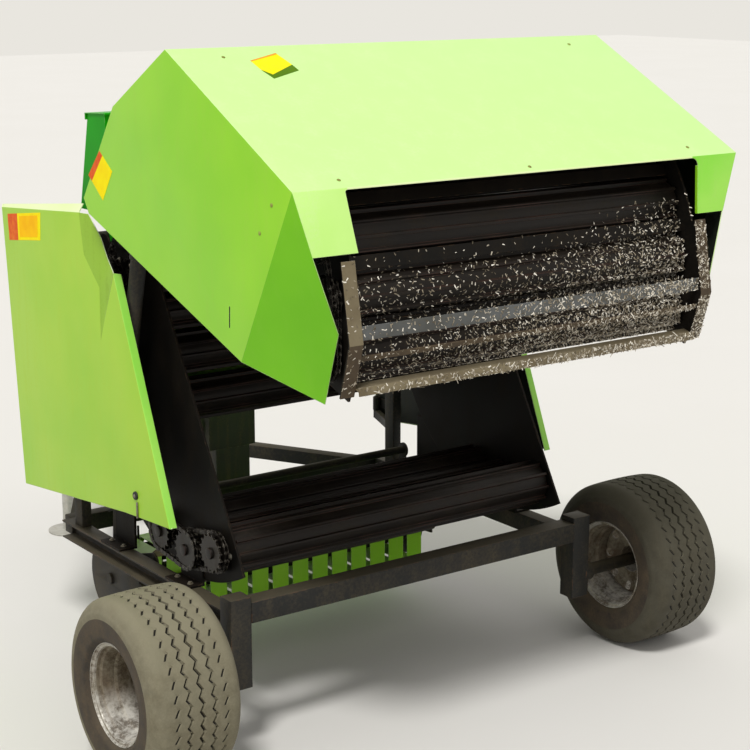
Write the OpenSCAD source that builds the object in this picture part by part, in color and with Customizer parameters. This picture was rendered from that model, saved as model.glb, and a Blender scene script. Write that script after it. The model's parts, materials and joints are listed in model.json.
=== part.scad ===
// Round baler with a fixed chamber of ribbed rollers, tailgate part raised.
// Millimetres, +X right, +Y forward (direction of travel), +Z up, floor at Z = 0.
// Places along the machine are written from the axle line, then moved once to the origin.

/* [Chamber] */
// Clear width between the side plates
chamber_w = 1400; // [1300:10:1500]
// Radius from the chamber centre to each roller centre
roller_ring_r = 580; // [570:1:584]
// Radius of a roller over its ribs
roller_r = 84; // [72:1:86]
// Height that a rib stands above the roller tube
rib_h = 12; // [6:1:16]
// Number of ribs round a roller
rib_count = 10; // [8:1:12]
// Radius of a roller shaft
shaft_r = 20; // [16:1:24]
// Thickness of the side plates
plate_t = 8; // [6:1:10]
// Radius of the round side plates
plate_r = 690; // [684:1:700]
// Height of the chamber centre above the floor
chamber_z = 1204; // [1190:1:1220]
// Distance of the chamber centre ahead of the axle
chamber_y = 370; // [360:1:380]

/* [Tailgate] */
// Angle by which the tailgate stands open
open_deg = 40.5; // [0:0.5:65]
// Distance from the chamber centre to the tailgate pivot
pivot_r = 690; // [680:1:700]
// Radius of the tailgate pivot pin
pivot_pin_r = 16; // [14:1:20]
// Width of the hood over its side panels
hood_w = 1810; // [1760:10:1860]
// Thickness of the hood sheet
sheet_t = 3; // [2:0.5:4]
// Width of the opening in the rear of the hood
exit_w = 1442; // [1400:2:1480]
// Height of the strips beside that opening
strip_h = 194; // [180:1:200]
// Angle at which the corner panels fold inwards
corner_fold = 31; // [26:1:34]
// Width of the outward flange on the rear of the side plates
flange_w = 42; // [30:1:46]

/* [Wheels] */
// Outer radius of the tyres
tyre_r = 320; // [300:1:340]
// Width of the tyres
tyre_w = 330; // [300:2:340]
// Radius of the rim at its flange
rim_r = 167; // [150:1:180]
// Distance between the wheel centres
track = 2150; // [2140:10:2250]
// Radius of the stub spindles
spindle_r = 24; // [20:1:28]

/* [Chassis] */
// Height of the axle beam centre
beam_z = 500; // [490:1:505]
// Side of the square axle beam
beam_s = 75; // [60:1:80]
// Distance from the middle to the outside of the wheel legs
leg_x = 800; // [790:1:810]
// Width of a wheel leg
leg_w = 80; // [60:1:80]
// Depth of a wheel leg
leg_d = 70; // [60:1:80]
// Height of the lower end of the wheel legs
leg_foot_z = 235; // [220:1:260]
// Height of the underside of the long rails
rail_z = 425; // [415:1:430]
// Depth of the long rails
rail_h = 70; // [60:1:75]
// Width of the long rails
rail_w = 60; // [50:1:64]
// Gap between a side plate and the rail beside it
rail_gap = 14; // [12:1:18]
// Distance from the tine tips to the cross member ahead of them
rail_over = 35; // [32:1:60]
// Front of the drawbar head ahead of the axle
hitch_y = 2900; // [2750:10:3000]
// Radius of the hole in the hitch eye
eye_bore_r = 20; // [16:0.5:25]

/* [Pickup] */
// Distance of the reel centre ahead of the axle
reel_y = 1040; // [1030:5:1060]
// Height of the reel centre
reel_z = 300; // [290:1:310]
// Radius to the tips of the tines
tine_tip_r = 190; // [180:1:195]
// Radius to the centres of the tine bars
tine_bar_r = 105; // [95:1:108]
// Number of tine bars
tine_bar_count = 4; // [3:1:5]
// Spacing of the tines along a bar
tine_pitch = 95; // [90:1:100]
// Thickness of a tine
tine_t = 7; // [6:1:8]
// Width of the gap between two stripper bands
band_gap = 21; // [19:1:24]
// Inner radius of the stripper bands
band_r = 140; // [138:1:146]
// Number of rods in the wind guard
wind_rods = 11; // [7:2:15]

/* [Guards and twine box] */
// Distance from the middle to the outside of a side guard
guard_x = 858; // [850:1:866]
// Height of the lower front corner of a guard
guard_low_z = 617; // [600:1:640]
// How far the twine box reaches past each side of the chamber
box_over = 21; // [14:1:40]
// Depth of the twine box at its floor
box_d = 215; // [180:5:230]
// Angle by which the front of the twine box leans back
box_lean = 13; // [8:1:16]
// Angle by which the twine box lid slopes
lid_slope = 3; // [2:1:8]
// Width of the flange along the rear edge of a guard
guard_lip = 30; // [16:1:32]

/* [Hidden] */

$fn = 48;
lime = "#93D43A";
dark_lime = "#22A814";
black_steel = "#26262A";
grey_steel = "#7E7A74";
rubber = "#3E3D38";
silver = "#B9BCBE";

seat = 0.3;
clear = 5;
plate_x = chamber_w / 2;
plate_out = plate_x + plate_t;
hood_x = hood_w / 2;
box_w = chamber_w + 2 * box_over;

// The split between the halves runs from the pivot through the chamber centre
split_deg = 60.28;
pivot_y = chamber_y + pivot_r * cos(split_deg);
pivot_z = chamber_z + pivot_r * sin(split_deg);
split_gap = 6;
ear_r = pivot_pin_r + 8;
arm_t = 12;
arm_w = 90;
arm_foot = [92, 500];

// Hood outline when shut, from the pivot as [forward, up]
hood_front_low = [-1, -38];
hood_front_top = [-8, 23];
hood_crown = [-401, 118];
hood_shoulder = [-807, 35];
hood_fold = [-1112, -713];
hood_tip = [-533, -939];
hood_outline = [hood_tip, hood_fold, hood_shoulder, hood_crown, hood_front_top, hood_front_low];
strip_dir = -52.2;

// Rear flange of the tail plates as [angle round the chamber, radius]
flange_top = [204, 706];
flange_mid = [224, 722];
flange_low = [238, 704];

roller_step = 18;
tail_roller_count = 10;
front_upper_count = 5;
front_lower_count = 3;
tail_roller_angles = [for (i = [0:tail_roller_count - 1]) split_deg + (i + 0.5) * roller_step];
front_roller_angles = concat(
  [for (i = [0:front_upper_count - 1]) split_deg - (i + 0.5) * roller_step],
  [for (i = [0:front_lower_count - 1]) split_deg - 180 + (i + 0.5) * roller_step]);

// Short chains join each roller to the next in two planes by turns
roller_gap = 2 * roller_ring_r * sin(roller_step / 2);
chain_span = 7;
chain_pitch = roller_gap / chain_span;
sprocket_teeth = 16;
function pitch_r(teeth) = chain_pitch / (2 * sin(180 / teeth));
sprocket_r = pitch_r(sprocket_teeth);
sprocket_t = 8;
sprocket_step = 20;
sprocket_x = plate_out + clear + arm_t + 5;
shaft_end_x = sprocket_x + sprocket_step + sprocket_t + 8;
link_t = 3;
link_gap = seat;
link_h = 18;
main_teeth = 19;
main_x = shaft_end_x + 12;

// Tailgate cylinders: base on the front half, eye on the tail half when shut
ram_base = [720, 920];
ram_eye = [471, 1724];
ram_x = hood_x - 112;
ram_barrel_r = 28;
ram_rod_r = 14;
ram_pin_r = 12;
ram_barrel_len = 760;

// Side guard corners as [y, z]
guard_corners = [[1524, 1700], [834, 1752], [650, 1590], [612, 1566], [264, 739], [585, 715],
  [1423, guard_low_z]];
guard_t = 3;
guard_in = guard_x - guard_t;
guard_hem = 12;
guard_hinge_y = 1410;
guard_hinge_x = guard_in - 20;
hinge_r = 10;
hinge_h = 60;
hinge_low_z = 665;
hinge_high_z = 1560;

top_tube_at = [chamber_y, chamber_z] + polar(34, plate_r + 32);

box_y = 905;
box_low_z = 1730;
box_high_z = 2090;
box_top_d = box_d - (box_high_z - box_low_z) * tan(box_lean);
lid_y = box_y - 6;
lid_z = box_high_z + 6 * tan(lid_slope) + seat;

rail_x = plate_out + rail_gap;
rail_top = rail_z + rail_h;
rail_front_y = reel_y + tine_tip_r + rail_over;
cross_d = 60;
cross_x = rail_x + 20;
post_w = 40;
post_d = 60;
post_y = rail_front_y - 135;
post_top = 1640;
pick_pivot_y = 700;
pick_pivot_z = 462;
pick_pin_r = 15;
pick_plate_out = plate_x - clear - 3;
pick_plate_t = 8;
band_count = floor((chamber_w - 60) / tine_pitch);
band_w = tine_pitch - band_gap;
band_back_y = reel_y - tine_tip_r - 10;

jack_x = -170;
jack_y = 2500;
jack_tube_r = 32;
jack_leg_r = 26;

// Whole length along the machine, for the origin
function turned(p, a) = [p[0] * cos(a) + p[1] * sin(a), -p[0] * sin(a) + p[1] * cos(a)];
function polar(a, r) = [r * cos(a), r * sin(a)];
function at_ring(a) = [chamber_y, chamber_z] + polar(a, roller_ring_r);
function from_pivot(a, r) = [chamber_y + r * cos(a) - pivot_y, chamber_z + r * sin(a) - pivot_z];
flange_rear = pivot_y + min([for (f = [flange_top, flange_mid, flange_low])
  turned(from_pivot(f[0], f[1]), open_deg)[0]]);
front_end = hitch_y;
shift_y = -(front_end + flange_rear) / 2;

// Direction and length between two points in the side view
function aim(p, q) = atan2(q[1] - p[1], q[0] - p[0]);
function gap(p, q) = norm(q - p);
function unit(v) = v / norm(v);
function left_of(v) = [-v[1], v[0]];
// Inner edge of a sheet of thickness t that follows the points p
function mitre(p, i, t) =
  let (a = unit(p[max(i, 1)] - p[max(i, 1) - 1]),
       b = unit(p[min(i + 1, len(p) - 1)] - p[min(i + 1, len(p) - 1) - 1]),
       n = unit(left_of(a) + left_of(b)))
  p[i] + n * t / (n * left_of(a));
function band_points(p, t) = concat(p, [for (i = [len(p) - 1:-1:0]) mitre(p, i, t)]);

// Shapes drawn as [y, z] in the side view and made t thick from x outwards
module side(x, t) {
  translate([x, 0, 0]) rotate([90, 0, 90]) linear_extrude(t) children();
}
module rod_x(x, p, r, l) {
  translate([x, p[0], p[1]]) rotate([0, 90, 0]) cylinder(r = r, h = l);
}
module on_side(s) {
  if (s < 0) mirror([1, 0, 0]) children();
  else children();
}
module placed() {
  translate([0, shift_y, 0]) children();
}
module raised() {
  placed() translate([0, pivot_y, pivot_z]) rotate([-open_deg, 0, 0])
    translate([0, -pivot_y, -pivot_z]) children();
}
module strut(p, q, w) {
  translate(p) rotate(aim(p, q)) translate([0, -w / 2]) square([gap(p, q), w]);
}

// Chassis
module axle_beam() {
  color(black_steel) placed() translate([-leg_x + leg_w, -beam_s / 2, beam_z - beam_s / 2])
    cube([2 * (leg_x - leg_w), beam_s, beam_s]);
}
module wheel_legs() {
  leg_top_z = beam_z + 57;
  hub_x = track / 2 - 40;
  color(black_steel) placed() for (s = [-1, 1]) on_side(s) {
    translate([leg_x - leg_w, -leg_d / 2, leg_foot_z]) cube([leg_w, leg_d, leg_top_z - leg_foot_z]);
    rod_x(leg_x - 10, [0, tyre_r], spindle_r, hub_x + 70 - leg_x);
    rod_x(leg_x - 10, [0, tyre_r], spindle_r + 14, 40);
  }
}
module frame_rails() {
  color(black_steel) placed() for (s = [-1, 1]) on_side(s) {
    difference() {
      translate([rail_x, leg_d / 2, rail_z]) cube([rail_w, rail_front_y - leg_d / 2, rail_h]);
      translate([rail_x + 6, leg_d / 2 - 1, rail_z + 6])
        cube([rail_w, rail_front_y - leg_d / 2 + 2, rail_h - 12]);
    }
    rod_x(pick_plate_out - pick_plate_t - 6, [pick_pivot_y, pick_pivot_z], pick_pin_r,
      rail_x + 3 - (pick_plate_out - pick_plate_t - 6));
  }
}
module front_cross() {
  color(black_steel) placed() translate([-cross_x, rail_front_y, rail_z])
    cube([2 * cross_x, cross_d, rail_h]);
}
tongue_w = 92;
module drawbar_beam() {
  root = [rail_x - 20, rail_front_y + cross_d];
  tip = [62, hitch_y - 480];
  color(black_steel) placed() translate([0, 0, rail_z + 5]) linear_extrude(rail_h - 10) difference() {
    strut([root[0], root[1] - 30], tip, rail_w);
    translate([0, root[1] - 100]) square([2 * rail_x, 100]);
    translate([0, root[1] - 100]) square([tongue_w / 2, 2000]);
  }
}
module drawbar_left() on_side(-1) drawbar_beam();
module drawbar_right() drawbar_beam();
module drawbar_head() {
  head_y = hitch_y - 700;
  eye_r = 45;
  color(black_steel) placed() difference() {
    union() {
      translate([-tongue_w / 2, head_y, rail_z + 10]) cube([tongue_w, 560, rail_h - 20]);
      translate([-eye_r, hitch_y - 160, rail_z + 20]) cube([2 * eye_r, 160 - eye_r, 30]);
      translate([0, hitch_y - eye_r, rail_z + 20]) cylinder(r = eye_r, h = 30);
    }
    translate([0, hitch_y - eye_r, rail_z]) cylinder(r = eye_bore_r, h = rail_h);
  }
}
module jack_sleeve() {
  low_z = 330;
  high_z = 830;
  crank_h = 45;
  crank_l = 130;
  color(black_steel) placed() {
    translate([jack_x, jack_y, low_z]) difference() {
      cylinder(r = jack_tube_r, h = high_z - low_z);
      translate([0, 0, -1]) cylinder(r = jack_leg_r + 1, h = high_z - low_z - 15);
    }
    translate([jack_x + jack_leg_r + 3, jack_y - 30, rail_z + 12])
      cube([-jack_x - jack_leg_r - 3 - tongue_w / 2, 60, rail_h - 24]);
    translate([jack_x, jack_y, high_z - 1]) cylinder(r = 11, h = crank_h);
    rod_x(jack_x - crank_l, [jack_y, high_z + crank_h - 2], 9, crank_l + 11);
    translate([jack_x - crank_l, jack_y, high_z + crank_h - 11]) cylinder(r = 12, h = 100);
  }
}
module jack_leg() {
  color(silver) placed() translate([jack_x, jack_y, 0]) {
    cylinder(r = 95, h = 8);
    cylinder(r = jack_leg_r, h = 480);
  }
}

// Chamber, front half
module half_disc(r, a) {
  intersection() {
    translate([chamber_y, chamber_z]) circle(r = r, $fn = 128);
    translate([chamber_y, chamber_z]) rotate(a) translate([0, split_gap / 2])
      translate([-2 * r, 0]) square([4 * r, 2 * r]);
  }
}
module shaft_holes(angles) {
  for (a = angles) translate(at_ring(a)) circle(r = shaft_r + seat);
}
// Bearing bosses on the outside of a plate
module bosses(angles) {
  for (a = angles) translate([0, at_ring(a)[0], at_ring(a)[1]])
    difference() {
      rod_x(plate_out - 1, [0, 0], 36, 7);
      rod_x(plate_out - 2, [0, 0], shaft_r + seat, 9);
    }
}
module side_plate() {
  foot_w = 150;
  color(black_steel) placed() {
    side(plate_x, plate_t) difference() {
      union() {
        half_disc(plate_r, split_deg + 180);
        translate([pivot_y, pivot_z]) circle(r = ear_r);
        strut([pivot_y, pivot_z], [chamber_y, chamber_z] + polar(split_deg - 8, plate_r - 60), 2 * ear_r);
        translate(top_tube_at) circle(r = 45);
      }
      shaft_holes(front_roller_angles);
    }
    rod_x(plate_x, [pivot_y, pivot_z], pivot_pin_r, plate_t + clear + arm_t + 10);
    rod_x(plate_out - 1, ram_base, ram_pin_r, ram_x + 22 - plate_out);
    for (f = [[chamber_y - foot_w / 2, 55], [chamber_y + 420, 265]]) {
      side(plate_out - 1, plate_t + 1) translate([f[0], rail_top]) square([foot_w, f[1]]);
      side(plate_out - 1, rail_gap + rail_w) translate([f[0], rail_top]) square([foot_w, plate_t]);
    }
    bosses(front_roller_angles);
  }
}
module side_plate_left() on_side(-1) side_plate();
module side_plate_right() side_plate();

module roller(p) {
  body_l = chamber_w - 16;
  rib_w = 10;
  translate([0, p[0], p[1]]) rotate([90, 0, 90]) {
    translate([0, 0, -body_l / 2]) linear_extrude(body_l) {
      circle(r = roller_r - rib_h);
      for (i = [0:rib_count - 1]) rotate(i * 360 / rib_count)
        translate([0, -rib_w / 2]) square([roller_r, rib_w]);
    }
    translate([0, 0, -shaft_end_x]) cylinder(r = shaft_r, h = 2 * shaft_end_x);
  }
}
module front_rollers() {
  color(black_steel) placed() for (a = front_roller_angles)
    roller(at_ring(a));
}
module front_shield() {
  lip = 3;
  color(lime) placed() side(-plate_x, chamber_w) intersection() {
    difference() {
      translate([chamber_y, chamber_z]) circle(r = plate_r, $fn = 128);
      translate([chamber_y, chamber_z]) circle(r = plate_r - lip, $fn = 128);
    }
    translate([chamber_y, chamber_z]) polygon([[0, 0], polar(-27, 1200), polar(24, 1200), polar(52, 1200)]);
  }
}
module feed_floor() {
  low = [790, 446];
  high = [598, 580];
  color(grey_steel) placed() {
    side(-plate_x + 24, chamber_w - 48) strut(low, high, 4);
    side(-plate_x, chamber_w) strut(low + (high - low) * 0.78, high, 4);
  }
}
module top_tube() {
  color(black_steel) placed() rod_x(-plate_x, top_tube_at, 24, chamber_w);
}

// Drive
gear_y = rail_front_y + 115;
gear_z = 760;
drive_x = -(plate_out + 40);
gear_half = 110;
gear_h = 200;
gear_cap = 15;
module gearbox() {
  foot_w = 160;
  neck = 40;
  color(grey_steel) placed() {
    side(-gear_half, 2 * gear_half) translate([gear_y - gear_half, gear_z - gear_h / 2]) polygon([[0, 0],
      [2 * gear_half, 0], [2 * gear_half, gear_h - 45], [2 * gear_half - 45, gear_h], [30, gear_h], [0, gear_h - 30]]);
    rod_x(-gear_half - gear_cap, [gear_y, gear_z], 76, 2 * (gear_half + gear_cap));
    translate([0, gear_y + gear_half - 1, gear_z]) rotate([-90, 0, 0]) cylinder(r = 60, h = neck + 1);
    translate([0, gear_y + gear_half + neck - 1, gear_z]) rotate([-90, 0, 0]) cylinder(r = 17.5, h = 91);
    translate([-foot_w / 2, rail_front_y + 2, rail_top]) cube([foot_w, cross_d - 4, gear_z - gear_h / 2 - rail_top]);
  }
}
module cross_shaft() {
  color(black_steel) placed() rod_x(drive_x, [gear_y, gear_z], 38, -gear_half - gear_cap - drive_x);
}
module sprocket(p, x, teeth) {
  r = pitch_r(teeth);
  translate([x, p[0], p[1]]) rotate([90, 0, 90]) linear_extrude(sprocket_t) difference() {
    union() {
      circle(r = r - 7);
      for (i = [0:teeth - 1]) rotate((i + 0.5) * 360 / teeth)
        translate([r - 9, 0]) polygon([[0, -6.5], [12.5, -2], [12.5, 2], [0, 6.5]]);
    }
    circle(r = shaft_r + seat);
  }
}
// Two toothed discs on one hub, turned so that teeth meet the chains
module double_sprocket(p) {
  for (k = [0, 1]) sprocket(p, -sprocket_x - k * sprocket_step - sprocket_t, sprocket_teeth);
  difference() {
    rod_x(-sprocket_x - sprocket_step - 1, p, shaft_r + 14, sprocket_step - sprocket_t + 2);
    rod_x(-sprocket_x - sprocket_step - 2, p, shaft_r + seat, sprocket_step - sprocket_t + 4);
  }
}
// Outline of a loop round two circles, the ends in wrap_steps straight steps each
wrap_steps = 9;
function arc_points(c, r, a, b) = [for (i = [0:wrap_steps]) c + polar(a + (b - a) * i / wrap_steps, r)];
function loop_points(p, q, rp, rq) =
  let (spread = acos((rp - rq) / gap(p, q)), way = aim(p, q))
  concat(arc_points(p, rp, way + spread, way + 360 - spread), arc_points(q, rq, way - spread, way + spread));
// A chain as two closed rows of link plates with pins where no tooth reaches
module chain(p, q, rp, rq, x) {
  way = aim(p, q);
  for (k = [0, 1]) side(x - link_gap - link_t + k * (sprocket_t + 2 * link_gap + link_t), link_t) difference() {
    polygon(loop_points(p, q, rp + link_h / 2, rq + link_h / 2));
    polygon(loop_points(p, q, rp - link_h / 2, rq - link_h / 2));
  }
  spread = acos((rp - rq) / gap(p, q));
  for (s = [-1, 1]) for (k = [-0.5, 0.5]) {
    mid = (p + q) / 2 + polar(way, k * chain_pitch) + polar(way + s * spread, (rp + rq) / 2);
    rod_x(x - link_gap - 1, mid, 4, sprocket_t + 2 * link_gap + 2);
  }
}
module roller_chains(angles) {
  for (i = [0:len(angles) - 2])
    chain(at_ring(angles[i]), at_ring(angles[i + 1]), sprocket_r, sprocket_r,
      -sprocket_x - (i % 2) * sprocket_step - sprocket_t);
}
module front_sprockets() {
  color(grey_steel) placed() for (a = front_roller_angles) double_sprocket(at_ring(a));
}
front_upper_angles = [for (i = [0:front_upper_count - 1]) front_roller_angles[i]];
front_lower_angles = [for (i = [0:front_lower_count - 1]) front_roller_angles[front_upper_count + i]];
module front_chains() {
  color(grey_steel) placed() {
    roller_chains(front_upper_angles);
    roller_chains(front_lower_angles);
  }
}
module tail_chains() {
  color(grey_steel) raised() roller_chains(tail_roller_angles);
}
driven_at = at_ring(front_upper_angles[front_upper_count - 1]);
module main_drive() {
  color(grey_steel) placed() {
    sprocket(driven_at, -main_x - sprocket_t, main_teeth);
    sprocket([gear_y, gear_z], -main_x - sprocket_t, sprocket_teeth);
    rod_x(-main_x - sprocket_t - 4, driven_at, shaft_r + seat + 1, main_x + sprocket_t + 4 - shaft_end_x);
    rod_x(-main_x - sprocket_t - 4, [gear_y, gear_z], shaft_r + seat + 1, main_x + sprocket_t + 4 + drive_x);
  }
}
module main_chain() {
  color(grey_steel) placed()
    chain([gear_y, gear_z], driven_at, sprocket_r, pitch_r(main_teeth), -main_x - sprocket_t);
}

// Tailgate
hood_inside = [hood_tip * 1.4, hood_fold + [6, 0], hood_shoulder + [4, -4.5], hood_crown + [0, -4],
  hood_front_top + [0, -4]];
module tail_plate() {
  arm_end = [chamber_y, chamber_z] + polar(arm_foot[0], arm_foot[1]);
  color(black_steel) raised() {
    side(plate_x, plate_t) difference() {
      intersection() {
        half_disc(plate_r, split_deg);
        translate([pivot_y, pivot_z]) polygon(hood_inside);
      }
      shaft_holes(tail_roller_angles);
      translate([pivot_y, pivot_z]) circle(r = ear_r + clear);
    }
    difference() {
      union() {
        side(plate_out + clear, arm_t) {
          translate([pivot_y, pivot_z]) circle(r = ear_r);
          intersection() {
            strut([pivot_y, pivot_z], arm_end, arm_w);
            translate([pivot_y, pivot_z]) polygon(concat(hood_inside, [[ear_r, ear_r / 2], [ear_r, -arm_w]]));
          }
        }
        side(plate_out - 1, clear + arm_t + 1) translate(arm_end) rotate(arm_foot[0])
          square([arm_w, arm_w], center = true);
      }
      rod_x(plate_x, [pivot_y, pivot_z], pivot_pin_r + seat, 60);
      for (a = tail_roller_angles) rod_x(plate_out - 2, at_ring(a), shaft_r + seat, 40);
    }
    rod_x(plate_out - 1, ram_eye, ram_pin_r, ram_x - 15 - seat - plate_out + 1);
    bosses(tail_roller_angles);
    flange();
  }
}
module flange() {
  c = [chamber_y, chamber_z];
  p = [c + polar(flange_top[0], flange_top[1]), c + polar(flange_mid[0], flange_mid[1]),
    c + polar(flange_low[0], flange_low[1])];
  side(plate_x, plate_t + flange_w) polygon(band_points(p, 6));
  side(plate_x, plate_t)
    polygon(concat(p, [for (f = [flange_low, flange_top]) c + polar(f[0], plate_r - 50)]));
}
module tail_plate_left() on_side(-1) tail_plate();
module tail_plate_right() tail_plate();
module tail_rollers() {
  color(black_steel) raised() for (a = tail_roller_angles)
    roller(at_ring(a));
}
module tail_sprockets() {
  color(grey_steel) raised() for (a = tail_roller_angles) double_sprocket(at_ring(a));
}
// Flat slats behind the gaps between the rollers, and the rail along the lower edge
module tail_rail() {
  c = [chamber_y, chamber_z];
  slat_t = 4;
  color(grey_steel) raised() side(-plate_x, chamber_w) {
    strut(c + polar(219.9, 704), c + polar(223.4, 704), slat_t);
    strut(c + polar(227.3, 704), c + polar(228.7, 704), slat_t);
    strut(c + polar(236, 672), c + polar(236, 722), slat_t);
    strut(c + polar(235, 718), c + polar(237, 727), slat_t);
  }
}
module corner_panel() {
  edge = hood_tip - hood_fold;
  panel = [[1, 1], [norm(edge) - 1, 1], [norm(edge) - 12, -295], [360, -265], [166, -117]];
  translate([hood_x - 0.5, pivot_y + hood_fold[0], pivot_z + hood_fold[1]]) rotate([90, 0, 90])
    rotate(aim(hood_fold, hood_tip)) rotate([corner_fold, 0, 0]) translate([0, 0, -sheet_t])
    linear_extrude(sheet_t) polygon(panel);
}
module strip_panel() {
  strip_low_x = 843;
  translate([0, pivot_y + hood_fold[0], pivot_z + hood_fold[1]]) rotate([strip_dir + 90, 0, 0])
    rotate([90, 0, 0]) translate([0, 0, -sheet_t])
    linear_extrude(sheet_t) polygon([[exit_w / 2, 0.5], [hood_x - 2, 0.5], [strip_low_x, -strip_h],
      [exit_w / 2, -strip_h]]);
}
module tail_hood() {
  skin = [hood_front_top, hood_crown, hood_shoulder, hood_fold];
  color(lime) raised() {
    difference() {
      translate([0, pivot_y, pivot_z]) {
        side(-hood_x, hood_w) polygon(band_points(skin, sheet_t));
        for (s = [-1, 1]) on_side(s) side(hood_x - sheet_t, sheet_t) polygon(hood_outline);
      }
      for (s = [-1, 1]) on_side(s)
        rod_x(plate_x - clear, [pivot_y, pivot_z], ear_r + clear, plate_t + arm_t + 3 * clear);
    }
    for (s = [-1, 1]) on_side(s) {
      corner_panel();
      strip_panel();
    }
  }
}

// Tailgate cylinders, drawn along the line from base to eye
ram_top = [pivot_y, pivot_z] + turned(ram_eye - [pivot_y, pivot_z], open_deg);
module along_ram() {
  placed() translate([ram_x, ram_base[0], ram_base[1]]) rotate([aim(ram_base, ram_top), 0, 0])
    rotate([-90, 0, 0]) children();
}
module barrel() {
  color(silver) along_ram() difference() {
    union() {
      translate([0, 0, 30]) cylinder(r = ram_barrel_r, h = ram_barrel_len - 30);
      rotate([0, 90, 0]) translate([0, 0, -15]) cylinder(r = 26, h = 30);
      translate([-15, -20, 0]) cube([30, 40, 40]);
    }
    rotate([0, 90, 0]) translate([0, 0, -20]) cylinder(r = ram_pin_r + 0.5, h = 40);
    translate([0, 0, 60]) cylinder(r = ram_rod_r + 0.5, h = ram_barrel_len);
  }
}
module rod() {
  reach = gap(ram_base, ram_top);
  rod_len = 720;
  color(silver) along_ram() {
    translate([0, 0, reach - rod_len]) cylinder(r = ram_rod_r, h = rod_len - 22);
    translate([0, 0, reach]) rotate([0, 90, 0]) translate([0, 0, -15]) cylinder(r = 26, h = 30);
    translate([0, 0, reach]) rotate([0, 90, 0]) translate([0, 0, -15]) cylinder(r = ram_pin_r, h = 36);
  }
}
module barrel_left() on_side(-1) barrel();
module barrel_right() barrel();
module rod_left() on_side(-1) rod();
module rod_right() rod();

// Twine box
box_profile = [[box_y, box_low_z], [box_y + box_d, box_low_z],
  [box_y + box_top_d, box_high_z - box_top_d * tan(lid_slope)], [box_y, box_high_z]];
module twine_box() {
  wall = 3;
  over = 50;
  front_in = box_y + box_d - wall / cos(box_lean);
  color(dark_lime) placed() {
    difference() {
      side(-box_w / 2, box_w) polygon(box_profile);
      side(-box_w / 2 + wall, box_w - 2 * wall) polygon([
        [box_y + wall, box_low_z + wall], [front_in - wall * tan(box_lean), box_low_z + wall],
        [front_in - (box_high_z + over - box_low_z) * tan(box_lean), box_high_z + over],
        [box_y + wall, box_high_z + over]]);
    }
    for (s = [-1, 1]) on_side(s) side(plate_x, plate_t) polygon([[box_y + 10, box_low_z + 2],
      [box_y + 60, box_low_z + 2], [chamber_y, chamber_z] + polar(38, plate_r + 1),
      [chamber_y, chamber_z] + polar(44, plate_r + 1)]);
  }
}
module twine_lid() {
  color(dark_lime) placed() side(-box_w / 2 - 6, box_w + 12) translate([lid_y, lid_z]) {
    rotate(-lid_slope) square([box_top_d / cos(lid_slope) + 20, 3]);
    rotate(-lid_slope) translate([box_top_d / cos(lid_slope) + 17, -22]) square([3, 25]);
    circle(r = 4.5);
  }
}

// Side guards, each on two hinge pins that arms from the front posts carry
module guard_posts() {
  arm_h = 35;
  pin_boss_r = 14;
  root = [rail_x + post_w / 2, post_y + post_d / 2];
  color(black_steel) placed() for (s = [-1, 1]) on_side(s) {
    translate([rail_x, post_y, rail_top]) cube([post_w, post_d, post_top - rail_top]);
    for (z = [hinge_low_z, hinge_high_z]) translate([0, 0, z - arm_h]) {
      linear_extrude(arm_h) strut(root, [guard_hinge_x, guard_hinge_y], 24);
      translate([guard_hinge_x, guard_hinge_y, 0]) cylinder(r = pin_boss_r, h = arm_h);
      translate([guard_hinge_x, guard_hinge_y, 0]) cylinder(r = hinge_r, h = arm_h + seat + hinge_h + 4);
    }
  }
  color(black_steel) placed() rod_x(-rail_x - 1, [post_y + post_d / 2, post_top - 30], 20, 2 * rail_x + 2);
}
function between(a, b, f) = guard_corners[a] * (1 - f) + guard_corners[b] * f;
guard_flange = [between(0, 1, 0.02), guard_corners[1], guard_corners[2], guard_corners[3], between(4, 3, 0.02)];
guard_foot = [between(4, 5, 0.1), guard_corners[5], between(6, 5, 0.02)];
module guard() {
  leaf_l = 150;
  knob = [497, 801];
  color(lime) placed() {
    side(guard_in, guard_t) polygon(guard_corners);
    side(guard_x - guard_lip, guard_lip) polygon(band_points(guard_flange, guard_t));
    side(guard_x - guard_hem, guard_hem) polygon(band_points(guard_foot, guard_t));
    rod_x(guard_x - 1, knob, 14, 11);
    for (z = [hinge_low_z, hinge_high_z]) {
      translate([guard_hinge_x, guard_hinge_y, z + seat]) difference() {
        cylinder(r = hinge_r + 6, h = hinge_h);
        translate([0, 0, -1]) cylinder(r = hinge_r + 0.5, h = hinge_h + 2);
      }
      translate([guard_in - 6, guard_hinge_y - leaf_l, z + 10]) cube([6.5, leaf_l + 10, hinge_h - 20]);
    }
  }
}
module guard_left() on_side(-1) guard();
module guard_right() guard();

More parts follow.
